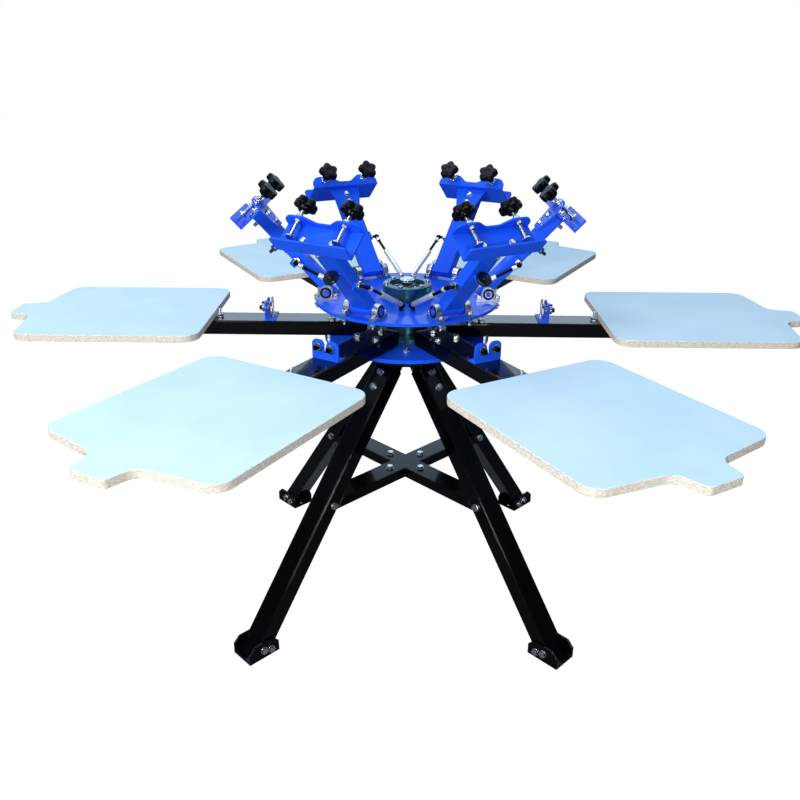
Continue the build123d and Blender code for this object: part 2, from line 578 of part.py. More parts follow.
def clamp_flange_outline():
    """Top flange: two round-nosed lobes with a scoop between them."""
    half = CLAMP_WIDTH / 2
    lobe_u = CLAMP_BACK_U + CLAMP_LOBE_DEPTH
    scoop_u = CLAMP_BACK_U + CLAMP_SCOOP_DEPTH
    half_outline = [(CLAMP_BACK_U, half), (lobe_u, half), (lobe_u, half - CLAMP_LOBE_WIDTH),
                    (scoop_u, CLAMP_SCOOP_WIDTH / 2)]
    outline = Polygon(*half_outline, *[(u, -v) for u, v in reversed(half_outline)], align=None)
    outline = rounded_at(outline, lobe_u, CLAMP_LOBE_RADIUS)
    return rounded_at(outline, scoop_u, CLAMP_SCOOP_RADIUS)


def clamp_channel():
    """Channel that takes the screen frame's edge, open away from the shaft."""
    half = CLAMP_WIDTH / 2
    web = box((CLAMP_BACK_U, CLAMP_FRONT_U), (-half, half), (CLAMP_BOTTOM_W, CLAMP_TOP_W))
    lip_u = CLAMP_BACK_U + CLAMP_BOTTOM_DEPTH
    lip = Polygon((CLAMP_BACK_U, half), (lip_u, half), (lip_u, -half), (CLAMP_BACK_U, -half), align=None)
    bottom = level_plate(rounded_at(lip, lip_u, CLAMP_BOTTOM_RADIUS), CLAMP_BOTTOM_W, CLAMP_PLATE)
    top = level_plate(clamp_flange_outline(), CLAMP_TOP_W - CLAMP_PLATE, CLAMP_PLATE)
    bore = CLAMP_SCREW_DIAMETER / 2 + RUNNING
    under_w = CLAMP_TOP_W - CLAMP_PLATE
    nut_pair = [ring(CLAMP_NUT_DIAMETER, 2 * bore, CLAMP_TOP_W, CLAMP_TOP_W + CLAMP_NUT_HEIGHT),
                ring(CLAMP_NUT_DIAMETER, 2 * bore, under_w - CLAMP_NUT_HEIGHT, under_w)]
    hole = post(2 * bore, under_w, CLAMP_TOP_W)
    channel = web + bottom + top
    for side in (-1, 1):
        channel -= Pos(CLAMP_SCREW_U, side * CLAMP_SCREW_V, 0) * hole
    nuts = [Pos(CLAMP_SCREW_U, side * CLAMP_SCREW_V, 0) * nut for side in (-1, 1) for nut in nut_pair]
    return channel, nuts


def guide_bracket():
    """Angle under the arm that holds the registration guide."""
    back_u = GUIDE_U - GUIDE_THICKNESS / 2
    half = GUIDE_BRACKET_WIDTH / 2
    plate_bottom_w = GUIDE_W - GUIDE_BRACKET_LAP
    upright = box((back_u - GUIDE_BRACKET_PLATE, back_u), (-half, half), (plate_bottom_w, HEAD_ARM_BOTTOM_W))
    seat = box((back_u - GUIDE_BRACKET_FOOT, back_u - GUIDE_BRACKET_PLATE), (-half, half),
               (HEAD_ARM_BOTTOM_W - GUIDE_BRACKET_PLATE, HEAD_ARM_BOTTOM_W))
    return upright + seat


def guide_disc():
    """Registration guide: a flat-sided steel disc across the arm."""
    face = Plane.YZ.offset(GUIDE_U - GUIDE_THICKNESS / 2) * Pos(0, GUIDE_W) * Circle(GUIDE_DIAMETER / 2)
    return extrude(face, GUIDE_THICKNESS)


def strut_lug(side):
    """Block on the arm's side with the pin that the strut's rod hinges on."""
    inner = side * HEAD_ARM_WIDTH / 2
    reach = side * (STRUT_V - STRUT_EYE_WIDTH / 2 - FACING)
    outer = side * (STRUT_V + STRUT_EYE_WIDTH / 2)
    block = box((-STRUT_LUG_WIDTH / 2, STRUT_LUG_WIDTH / 2),
                sorted((inner, inner + side * STRUT_LUG_THICKNESS)),
                (HEAD_ARM_BOTTOM_W + STRUT_LUG_INSET, HEAD_ARM_TOP_W - STRUT_LUG_INSET))
    spindle = cross_bar(STRUT_SPINDLE_DIAMETER, *sorted((inner, reach)))
    pin = cross_bar(STRUT_PIN_DIAMETER, *sorted((reach, outer)))
    return Pos(STRUT_LUG_U, 0, 0) * (block + spindle + pin)


def off_contact_stop():
    """Adjustable stop under the outer end of the arm."""
    stop = post(STOP_DIAMETER, HEAD_ARM_BOTTOM_W - STOP_DROP, HEAD_ARM_BOTTOM_W)
    return Pos(STOP_U, 0, 0) * stop


def head_bolts():
    """Bolts of the gusset, on the arm, and of the clamp's web, on its outer face."""
    gusset_top_w = HEAD_ARM_TOP_W + GUSSET_THICKNESS
    gusset_bolts = [Pos(CLAMP_BACK_U - d, 0, 0) * hexagon_bolt(BOLT_SMALL, gusset_top_w)
                    for d in GUSSET_BOLT_DEPTHS]
    web_bolt = Rot(0, 90, 0) * hexagon_bolt(BOLT_SMALL, 0)
    return gusset_bolts + [Pos(CLAMP_FRONT_U, side * WEB_BOLT_V, 0) * web_bolt for side in (-1, 1)]


def clamp_screw():
    """Star-knobbed clamp screw with a swivel pad."""
    rod = post(CLAMP_SCREW_DIAMETER, CLAMP_PAD_W, KNOB_BOTTOM_W)
    pad = post(CLAMP_PAD_DIAMETER, CLAMP_PAD_W - CLAMP_PAD_HEIGHT, CLAMP_PAD_W)
    angle = 360.0 / KNOB_LOBES
    star = Circle(KNOB_CORE_DIAMETER / 2)
    for index in range(KNOB_LOBES):
        star += Rot(0, 0, angle * index) * Pos(KNOB_LOBE_CIRCLE / 2, 0) * Circle(KNOB_LOBE_DIAMETER / 2)
    star_bottom_w = KNOB_BOTTOM_W + KNOB_SKIRT_HEIGHT
    knob = extrude(Plane.XY.offset(star_bottom_w) * star, KNOB_HEIGHT)
    return rod + pad + knob + post(KNOB_SKIRT_DIAMETER, KNOB_BOTTOM_W, star_bottom_w)


# ------------------------------------------------------------------ lift struts
def strut_line():
    """Raised strut's length and its angle above level."""
    raised = math.radians(HEAD_RAISED)
    du = PIVOT_U + STRUT_LUG_U * math.cos(raised) - STRUT_ANCHOR_U
    dz = PIVOT_Z + STRUT_LUG_U * math.sin(raised) - STRUT_ANCHOR_Z
    return math.hypot(du, dz), math.degrees(math.atan2(dz, du))


def on_strut(shape, azimuth, side):
    """Take a shape from along +X at the anchor pin to its strut's place."""
    angle = strut_line()[1]
    return (Rot(0, 0, azimuth) * Pos(STRUT_ANCHOR_U, side * STRUT_V, STRUT_ANCHOR_Z)
            * Rot(0, -angle, 0) * shape)


def strut_eye(at):
    """Flat eye with a pin bore, at a distance along the strut."""
    half = STRUT_EYE_WIDTH / 2
    eye = cross_bar(STRUT_EYE_DIAMETER, -half, half)
    bore = cross_bar(STRUT_PIN_DIAMETER + 2 * RUNNING, -half, half)
    return Pos(at, 0, 0) * eye, Pos(at, 0, 0) * bore


def strut_tube():
    """Outer tube with the eye that hinges on the disc."""
    eye, bore = strut_eye(0)
    half = STRUT_EYE_WIDTH / 2
    neck = box((0, STRUT_TUBE_START), (-half, half), (-half, half))
    end = STRUT_TUBE_START + STRUT_TUBE_LENGTH
    tube = extrude(Plane.YZ.offset(STRUT_TUBE_START) * Circle(STRUT_TUBE_DIAMETER / 2), STRUT_TUBE_LENGTH)
    hollow = extrude(Plane.YZ.offset(STRUT_TUBE_START + STRUT_TUBE_FLOOR) * Circle(STRUT_TUBE_BORE / 2), end)
    return eye + neck + tube - hollow - bore


def strut_rod():
    """Sliding rod with the eye that hinges on the head."""
    length = strut_line()[0]
    eye, bore = strut_eye(length)
    end = length - STRUT_EYE_DIAMETER / 2 + STRUT_ROD_LAP
    rod = extrude(Plane.YZ.offset(end - STRUT_ROD_LENGTH) * Circle(STRUT_ROD_DIAMETER / 2), STRUT_ROD_LENGTH)
    return rod + eye - bore


# ------------------------------------------------------------------ write the parts
def write_stand():
    write("stand_legs", *around(leg(), LEG_AZIMUTHS))
    write("stand_feet", *around(foot(), LEG_AZIMUTHS))
    write("cross_brace", cross_brace())
    write("stand_head", stand_head())
    write("main_shaft", main_shaft())
    write("stand_bolts", *stand_bolts())


def write_station_carousel():
    azimuths = station_azimuths()
    write("hub_plate", hub_plate())
    write("station_bearing", station_bearing())
    write("station_arms", *around(station_arm(), azimuths))
    write("arm_end_caps", *around(arm_end_cap(), azimuths))
    write("registration_gates", *around(registration_gate(), azimuths))
    write("gate_rollers", *[copy for roller in gate_rollers() for copy in around(roller, azimuths)])
    write("station_bolts", *station_bolts())
    for number, board in enumerate(around(pallet(), azimuths), 1):
        write(f"pallet_{number}", board)


def write_colour_carousel():
    azimuths = station_azimuths()
    write("colour_disc", colour_disc())
    write("colour_bearing", colour_bearing())
    pillows, fixings = [], []
    for side in (-1, 1):
        pillows += around(Pos(PIVOT_U, side * PILLOW_V, PIVOT_Z) * pillow_block(), azimuths)
        for bolt in pillow_bolts():
            fixings += around(Pos(0, side * PILLOW_V, 0) * bolt, azimuths)
    fixings += [Rot(0, 0, azimuth) * strut_anchor(side) for azimuth, side in zip(azimuths, STRUT_SIDES)]
    write("pillow_blocks", *pillows)
    write("disc_fixings", *fixings)


def write_head(number, azimuth, side):
    channel, nuts = clamp_channel()
    frame_pieces = [head_arm(), gusset(), channel, guide_bracket()]
    hardware_pieces = nuts + head_bolts() + [off_contact_stop(), guide_disc(), strut_lug(side)]
    write(f"head_frame_{number}", *[on_head(piece, azimuth) for piece in frame_pieces])
    write(f"head_hardware_{number}", *[on_head(piece, azimuth) for piece in hardware_pieces])
    write(f"strut_tube_{number}", on_strut(strut_tube(), azimuth, side))
    write(f"strut_rod_{number}", on_strut(strut_rod(), azimuth, side))
    for name, screw_side in (("left", 1), ("right", -1)):
        screw = Pos(CLAMP_SCREW_U, screw_side * CLAMP_SCREW_V, 0) * clamp_screw()
        write(f"clamp_screw_{number}_{name}", on_head(screw, azimuth))


os.makedirs("parts", exist_ok=True)
write_stand()
write_station_carousel()
write_colour_carousel()
for head, (head_azimuth, strut_side) in enumerate(zip(station_azimuths(), STRUT_SIDES), 1):
    write_head(head, head_azimuth, strut_side)
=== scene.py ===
"""Dresses the six-colour, six-station carousel screen printing press.

Lengths are millimetres until a mesh is made, when they become metres. u is the distance from
the main shaft and v the sideways distance from a station's centre line. On a printing head
U runs along the arm from its pivot, V sideways and W across the arm.
"""

import json
import logging
import math
from collections.abc import Iterable, Sequence
from dataclasses import dataclass, replace
from enum import Enum

import bmesh
import bpy
import numpy as np
from mathutils import Matrix


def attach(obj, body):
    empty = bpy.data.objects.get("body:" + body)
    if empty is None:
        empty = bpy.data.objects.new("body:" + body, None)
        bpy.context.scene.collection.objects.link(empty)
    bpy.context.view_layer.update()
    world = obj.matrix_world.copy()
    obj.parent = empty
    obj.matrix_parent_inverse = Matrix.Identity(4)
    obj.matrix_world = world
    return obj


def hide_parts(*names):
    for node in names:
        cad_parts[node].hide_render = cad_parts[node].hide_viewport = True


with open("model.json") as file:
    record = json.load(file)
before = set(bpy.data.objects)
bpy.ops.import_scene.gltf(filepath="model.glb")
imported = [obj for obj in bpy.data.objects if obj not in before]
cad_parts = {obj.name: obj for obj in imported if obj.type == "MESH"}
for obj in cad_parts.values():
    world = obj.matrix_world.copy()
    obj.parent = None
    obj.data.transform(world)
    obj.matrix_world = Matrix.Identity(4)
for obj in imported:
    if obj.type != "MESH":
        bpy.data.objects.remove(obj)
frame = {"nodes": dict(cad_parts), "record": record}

LOG = logging.getLogger("carousel_press")
MM = 0.001
MERGED = 2e-6    # points nearer than this, in metres, become one
STATIONS = 6
STEP = 360.0 / STATIONS
STATION_AZIMUTHS = tuple(STEP * k for k in range(STATIONS))
LEG_AZIMUTHS = (45.0, 135.0, 225.0, 315.0)
STRUT_SIDES = (-1, 1, -1, 1, 1, -1)    # side of each head's arm that its lift strut is on
BOTH = (-1, 1)

# A Mix node's sockets go by number, because several of them share a name.
MIX_FACTOR, MIX_NUMBER_A, MIX_NUMBER_B, MIX_COLOUR_A, MIX_COLOUR_B = 0, 2, 3, 6, 7
MIX_COLOUR_OUT = 2


class Body(Enum):
    """The bodies that pieces ride on; a head's own bodies have its number after them."""

    STAND = "stand"
    STATIONS = "station_carousel"
    COLOURS = "colour_carousel"
    HEAD = "head_"
    SLEEVE = "strut_tube_"
    PLUNGER = "strut_rod_"
    SCREW = "clamp_screw_"

    def of(self, tag: int | str) -> str:
        """Name of the body that has this tag."""
        return f"{self.value}{tag}"


class Side(Enum):
    """The two sides of a head's clamp, as directions along V."""

    LEFT = 1
    RIGHT = -1


class Axis(Enum):
    """Axes of rotation as the pair of coordinates that each one turns."""

    X = (1, 2)
    Y = (2, 0)
    Z = (0, 1)


@dataclass(frozen=True)
class Layout:
    """Places and sizes that two or more sub-assemblies share."""

    pallet_top: float = 845.0
    pallet_thickness: float = 18.0
    gate_u: float = 388.0          # outer face of a registration gate
    roller: float = 22.0
    roller_width: float = 7.0
    roller_gap: float = 1.0        # from the gate to a roller
    roller_spread: float = 36.0
    roller_rise: float = 32.0      # over the station arm
    mouth_floor: float = 904.0     # floor of the colour bearing's mouth
    pivot_u: float = 218.0         # a head's tilt axis
    pivot_z: float = 911.0
    pivot_tube: float = 28.4
    raised: float = 47.4           # a head's tilt at rest
    anchor_u: float = 124.0        # a strut's lower hinge pin, on the colour disc
    anchor_z: float = 904.0
    lug_u: float = 112.0           # a strut's upper hinge pin, along the head's arm
    strut_v: float = 60.0
    eye_half: float = 3.3          # half of a strut eye's thickness, with its play
    pin: float = 6.0               # a strut's hinge pins
    pin_head: float = 10.0         # across the flats
    pin_head_height: float = 4.0

    @property
    def arm_top(self) -> float:
        """Height of the station arms' top faces."""
        return self.pallet_top - self.pallet_thickness

    @property
    def roller_z(self) -> float:
        """Height of the rollers' axles."""
        return self.arm_top + self.roller_rise


LAYOUT = Layout()


# ---------------------------------------------------------------- placing
def shift(x: float = 0.0, y: float = 0.0, z: float = 0.0) -> np.ndarray:
    """Matrix of a move by x, y and z.

    Args:
        x: move along +X.
        y: move along +Y.
        z: move along +Z.

    Returns:
        A 4 by 4 matrix.
    """
    matrix = np.eye(4)
    matrix[:3, 3] = (x, y, z)
    return matrix


def turn(axis: Axis, degrees: float) -> np.ndarray:
    """Matrix of a turn about an axis, right-handed.

    Args:
        axis: the axis.
        degrees: how far.

    Returns:
        A 4 by 4 matrix.
    """
    first, second = axis.value
    angle = math.radians(degrees)
    matrix = np.eye(4)
    matrix[first, first] = matrix[second, second] = math.cos(angle)
    matrix[second, first] = math.sin(angle)
    matrix[first, second] = -math.sin(angle)
    return matrix


def facing(origin: Sequence[float], normal: Sequence[float], across: Sequence[float]) -> np.ndarray:
    """Matrix that takes +Z to a normal and +X to a direction across it.

    Args:
        origin: where the local origin goes.
        normal: unit vector that +Z becomes.
        across: unit vector, square to the normal, that +X becomes.

    Returns:
        A 4 by 4 matrix.
    """
    matrix = np.eye(4)
    matrix[:3, 0] = across
    matrix[:3, 1] = np.cross(normal, across)
    matrix[:3, 2] = normal
    matrix[:3, 3] = origin
    return matrix


def sideways(u: float, v: float, w: float, side: int) -> np.ndarray:
    """Matrix that takes the origin to (u, v, w), +Z to a side and +Y to the top."""
    return facing((u, v, w), (0.0, side, 0.0), (-side, 0.0, 0.0))


def outwards(u: float, v: float, w: float) -> np.ndarray:
    """Matrix that takes the origin to (u, v, w), +Z to the outer end and +X to the top."""
    return facing((u, v, w), (1.0, 0.0, 0.0), (0.0, 0.0, 1.0))


# ---------------------------------------------------------------- surfaces
@dataclass
class Surface:
    """Points in millimetres, and faces as tuples of point numbers."""

    points: np.ndarray
    faces: list[tuple[int, ...]]

    def moved(self, matrix: np.ndarray) -> "Surface":
        """The same surface after a 4 by 4 matrix."""
        return Surface(self.points @ matrix[:3, :3].T + matrix[:3, 3], self.faces)

    def __add__(self, other: "Surface") -> "Surface":
        """Both surfaces as one."""
        return joined((self, other))


def joined(surfaces: Iterable[Surface]) -> Surface:
    """Several surfaces as one.

    Args:
        surfaces: the surfaces.

    Returns:
        One surface, with the points in the same order.
    """
    parts = list(surfaces)
    starts = np.cumsum([0] + [len(part.points) for part in parts]).tolist()
    faces = [tuple(number + start for number in face)
             for part, start in zip(parts, starts) for face in part.faces]
    return Surface(np.vstack([part.points for part in parts]), faces)


def woven(points: np.ndarray, close_rows: bool = False, caps: bool = False) -> Surface:
    """A grid of points as quads; each row runs round a closed loop.

    Args:
        points: array of rows by columns by 3.
        close_rows: join the last row to the first, as in a ring.
        caps: close the first and last rows with one face each.

    Returns:
        The surface.
    """
    rows, columns = points.shape[:2]
    number = np.arange(rows * columns).reshape(rows, columns)
    if close_rows:
        number = np.vstack([number, number[:1]])
    low, high = number[:-1], number[1:]
    quads = np.stack([low, np.roll(low, -1, 1), np.roll(high, -1, 1), high], axis=-1)
    faces = [tuple(face) for face in quads.reshape(-1, 4).tolist()]
    if caps:
        faces.append(tuple(number[0][::-1].tolist()))
        faces.append(tuple(number[-1].tolist()))
    return Surface(points.reshape(-1, 3), faces)


def angles(count: int) -> np.ndarray:
    """Equal angles round a circle, in radians."""
    return np.linspace(0.0, 2.0 * math.pi, count, endpoint=False)


def polar(radius: np.ndarray, angle: np.ndarray, height: np.ndarray) -> np.ndarray:
    """Points (r cos a, r sin a, z), from arrays that broadcast together."""
    flat = np.broadcast_arrays(radius * np.cos(angle), radius * np.sin(angle), height)
    return np.stack(flat, axis=-1)


def revolved(profile: Sequence[tuple[float, float]], columns: int = 32, ring: bool = False) -> Surface:
    """A profile turned about Z: (r cos a, r sin a, z) for each (r, z) and each angle a.

    Args:
        profile: pairs of radius and height.
        columns: points round the circle.
        ring: join the profile's two ends, instead of closing each with a face.

    Returns:
        The surface.
    """
    radius, height = np.array(profile, float).T[:, :, None]
    return woven(polar(radius, angles(columns), height), close_rows=ring, caps=not ring)


def drum(diameter: float, bottom: float, top: float, edge: float = 0.6, columns: int = 32) -> Surface:
    """A round bar along Z, revolved.

    Args:
        diameter: its diameter.
        bottom: height of the lower end.
        top: height of the upper end.
        edge: how far both rims are cut back.
        columns: points round the circle.

    Returns:
        The surface.
    """
    radius = diameter / 2
    return revolved([(radius - edge, bottom), (radius, bottom + edge), (radius, top - edge),
                     (radius - edge, top)], columns)


def collar(outer: float, inner: float, bottom: float, top: float, edge: float = 0.4,
           columns: int = 32) -> Surface:
    """A ring along Z, revolved.

    Args:
        outer: outside diameter.
        inner: diameter of the bore.
        bottom: height of the lower face.
        top: height of the upper face.
        edge: how far both outer rims are cut back.
        columns: points round the circle.

    Returns:
        The surface.
    """
    out, bore = outer / 2, inner / 2
    return revolved([(bore, bottom), (out - edge, bottom), (out, bottom + edge), (out, top - edge),
                     (out - edge, top), (bore, top)], columns, ring=True)


def ball(diameter: float, columns: int = 16) -> Surface:
    """A sphere: r = R sin t and z = -R cos t for t from just over 0 to just under pi."""
    t = np.linspace(0.05, math.pi - 0.05, columns // 2 + 1)
    return revolved(list(zip(diameter / 2 * np.sin(t), -diameter / 2 * np.cos(t))), columns)


def hexagon(flats: float, height: float, chamfer: float = 0.9, bore: float = 0.0) -> Surface:
    """A chamfered hexagon prism on z = 0, with a round bore when it is a nut.

    The radius is the smaller of the hexagon's, half the flats over the cosine of the angle from
    the nearest flat's middle, and a cone's, so the corners are cut as on a turned bolt head.

    Args:
        flats: width across the flats.
        height: height of the prism.
        chamfer: how far the cone cuts down the corners.
        bore: diameter of the bore, or 0 for a solid head.

    Returns:
        The surface.
    """
    columns = 36    # six to a flat, so that the corners fall on columns
    angle = angles(columns)
    half = flats / 2
    prism = half / np.cos(angle % math.radians(60.0) - math.radians(30.0))
    corner = half / math.cos(math.radians(30.0))
    rows = [(corner, 0.0), (corner, height - chamfer),
            (corner - chamfer * 0.8, height - chamfer * 0.4), (half * 0.94, height)]
    if bore:
        rows = [(bore / 2, 0.0), *rows, (bore / 2, height)]
    cone, z = np.array(rows).T[:, :, None]
    return woven(polar(np.minimum(prism, cone), angle, z), close_rows=bool(bore), caps=not bore)


def threaded(diameter: float, pitch: float, bottom: float, top: float, depth: float = 0.9) -> Surface:
    """A screw thread along Z.

    The radius falls and rises once in each pitch: depth times the height of a triangle wave of
    z / pitch - a / 2 pi, at angle a and height z. The last millimetre of each end tapers by 18%.

    Args:
        diameter: outside diameter.
        pitch: distance from one crest to the next.
        bottom: height of the lower end.
        top: height of the upper end.
        depth: depth of the thread.

    Returns:
        The surface.
    """
    rows_per_pitch, fewest_rows, taper = 4, 8, 0.18
    rows = max(fewest_rows, int(round((top - bottom) / pitch * rows_per_pitch)))
    z = np.linspace(bottom, top, rows + 1)[:, None]
    angle = angles(18)
    wave = np.abs(((z / pitch - angle / (2.0 * math.pi)) % 1.0) * 2.0 - 1.0)
    from_end = np.minimum(np.minimum(z - bottom, top - z), 1.0)
    radius = (diameter / 2 - depth * wave) * (1.0 - taper + taper * from_end)
    return woven(polar(radius, angle, z), caps=True)


def star_knob(bottom: float, height: float, core: float, reach: float, lobes: int) -> Surface:
    """A star knob on the screw's axis.

    The outline is core + (reach - core) * s ** 0.75 with s = (1 + cos(lobes a)) / 2; each row is
    that outline scaled by a rounded shoulder, and the top is dished round a low boss. Rows that
    are scaled to less than the dish fade from the star to a circle.

    Args:
        bottom: height of the star's underside.
        height: height of the star.
        core: diameter across the valleys.
        reach: diameter across the lobes.
        lobes: how many lobes.

    Returns:
        The surface.
    """
    angle = angles(80)
    swell = ((1.0 + np.cos(lobes * angle)) / 2.0) ** 0.75
    outline = core / 2 + (reach - core) / 2 * swell
    rows = [(0.30, 0.0), (0.80, 0.0), (0.93, 0.05), (0.985, 0.16), (1.0, 0.30), (1.0, 0.72),
            (0.985, 0.85), (0.94, 0.95), (0.85, 1.0), (0.62, 1.02), (0.42, 1.04), (0.38, 1.0),
            (0.12, 1.0)]
    scale, level = np.array(rows).T[:, :, None]
    dish, fade = 0.62, 0.18
    starred = np.clip((scale - dish) / fade, 0.0, 1.0)
    radius = scale * (starred * outline + (1.0 - starred) * core / 2)
    return woven(polar(radius, angle, bottom + height * level), caps=True)


def carried(outline: np.ndarray, profile: Sequence[tuple[float, float]]) -> Surface:
    """A profile of (inset, z) carried round a closed outline.

    Each outline point moves inwards along its normal, the mean of its two edges' normals, by the
    profile's inset.

    Args:
        outline: array of points, anticlockwise.
        profile: pairs of inset and height, from the bottom up.

    Returns:
        The surface, closed at both ends.
    """
    edge = np.roll(outline, -1, 0) - outline
    normal = np.stack([edge[:, 1], -edge[:, 0]], axis=-1)
    normal /= np.linalg.norm(normal, axis=1)[:, None]
    mean = normal + np.roll(normal, 1, 0)
    mean /= np.linalg.norm(mean, axis=1)[:, None]
    rows = [np.column_stack([outline - inset * mean, np.full(len(outline), z)]) for inset, z in profile]
    return woven(np.array(rows), caps=True)


def rounded(corners: Sequence[tuple[float, float, float]], steps: int = 10) -> np.ndarray:
    """A closed outline with an arc at each corner.

    Args:
        corners: x, y and corner radius, anticlockwise.
        steps: points in each arc.

    Returns:
        Array of points; each arc is tangent to its corner's two edges.
    """
    points = []
    spots = np.array([corner[:2] for corner in corners], float)
    for number, (_, _, radius) in enumerate(corners):
        here = spots[number]
        back = spots[number - 1] - here
        ahead = spots[(number + 1) % len(spots)] - here
        back /= np.linalg.norm(back)
        ahead /= np.linalg.norm(ahead)
        half = math.acos(float(np.clip(back @ ahead, -1.0, 1.0))) / 2
        middle = (back + ahead) / np.linalg.norm(back + ahead)
        centre = here + middle * radius / math.sin(half)
        start = here + back * radius / math.tan(half) - centre
        end = here + ahead * radius / math.tan(half) - centre
        sweep = math.atan2(start[0] * end[1] - start[1] * end[0], float(start @ end))
        t = np.linspace(0.0, sweep, steps)
        quarter_on = (-start[1], start[0])
        points.append(centre + np.outer(np.cos(t), start) + np.outer(np.sin(t), quarter_on))
    return np.vstack(points)


def bead(start: Sequence[float], end: Sequence[float], width: float = 5.0) -> Surface:
    """A weld bead between two points.

    A circle of radius r(s) is carried along the line, with r = width / 2 * (1 + swell * cos(2 pi
    s / ripple)), and both ends close in a rounded nose.

    Args:
        start: where the bead starts.
        end: where it ends.
        width: its mean diameter.

    Returns:
        The surface.
    """
    ripple, swell, rows_per_ripple, fewest_rows = 3.2, 0.13, 4, 8
    first, last = np.array(start, float), np.array(end, float)
    length = float(np.linalg.norm(last - first))
    along = (last - first) / length
    nearly_upright = abs(along[2]) > 0.9
    side = np.cross(along, (1.0, 0.0, 0.0) if nearly_upright else (0.0, 0.0, 1.0))
    side /= np.linalg.norm(side)
    up = np.cross(side, along)
    s = np.linspace(0.0, length, max(fewest_rows, int(length / ripple * rows_per_ripple)))
    from_end = np.minimum(np.minimum(s, length - s) / width, 1.0)
    nose = np.sqrt(np.clip(1.0 - (1.0 - from_end) ** 2, 0.02, 1.0))
    radius = width / 2 * (1.0 + swell * np.cos(2.0 * math.pi * s / ripple)) * nose
    angle = angles(10)
    circle = np.outer(np.cos(angle), side) + np.outer(np.sin(angle), up)
    points = first + s[:, None, None] * along + radius[:, None, None] * circle[None]
    return woven(points, caps=True)


def seam(radius: float, width: float) -> Surface:
    """A weld bead round a bar along Z, at z = 0.

    A circle of radius r is carried round a ring, with r = width / 2 * (1 + swell * cos(ripples *
    a)) at the ring's angle a.

    Args:
        radius: the ring's radius.
        width: the bead's mean diameter.

    Returns:
        The surface.
    """
    ripples, swell = 18.0, 0.12
    round_bar, angle = angles(72)[:, None], angles(8)
    thick = width / 2 * (1.0 + swell * np.cos(ripples * round_bar))
    out, up = radius + thick * np.cos(angle), thick * np.sin(angle)
    return woven(polar(out, round_bar, up), close_rows=True)


# ---------------------------------------------------------------- finishes
def linear(colour: str) -> tuple[float, float, float, float]:
    """A hex sRGB colour as linear RGBA.

    Args:
        colour: six hex digits after a #.

    Returns:
        Red, green and blue from 0 to 1, by the sRGB curve, and an alpha of 1.
    """
    parts = [int(colour[at:at + 2], 16) / 255 for at in (1, 3, 5)]
    red, green, blue = (part / 12.92 if part <= 0.04045 else ((part + 0.055) / 1.055) ** 2.4
                        for part in parts)
    return red, green, blue, 1.0


def add_node(tree: bpy.types.NodeTree, kind: str, links: dict[str | int, object] | None = None,
             **settings: str | int) -> bpy.types.Node:
    """Add a node.

    Args:
        tree: the node tree.
        kind: Blender's name for the node's type.
        links: for each input, by name or number, a value or the socket to link to it.
        **settings: properties of the node.

    Returns:
        The node.
    """
    made = tree.nodes.new(kind)
    for name, value in settings.items():
        setattr(made, name, value)
    for name, value in (links or {}).items():
        if isinstance(value, bpy.types.NodeSocket):
            tree.links.new(value, made.inputs[name])
        else:
            made.inputs[name].default_value = value
    return made


def new_material(name: str) -> tuple[bpy.types.Material, bpy.types.NodeTree]:
    """Start a material.

    Args:
        name: its name.

    Returns:
        The material and its empty tree.
    """
    material = bpy.data.materials.new(name)
    material.use_nodes = True
    material.node_tree.nodes.clear()
    return material, material.node_tree


def close_with_shader(tree: bpy.types.NodeTree, sockets: dict[str | int, object]) -> None:
    """Add the shader and the output that shows it.

    Args:
        tree: the material's tree.
        sockets: the shader's sockets, each with a value or the socket to link to it.
    """
    shader = add_node(tree, "ShaderNodeBsdfPrincipled", sockets)
    add_node(tree, "ShaderNodeOutputMaterial", {"Surface": shader.outputs["BSDF"]})


def set_stops(ramp: bpy.types.Node, *stops: tuple[float, str]) -> None:
    """Give a colour ramp's stops their positions and colours.

    Args:
        ramp: the colour ramp's node.
        *stops: position and hex colour, from the left.
    """
    for element, (position, colour) in zip(ramp.color_ramp.elements, stops):
        element.position = position
        element.color = linear(colour)


def per_mm(size: float) -> float:
    """Scale of a texture whose features are this many millimetres across."""
    return 1.0 / (size * MM)


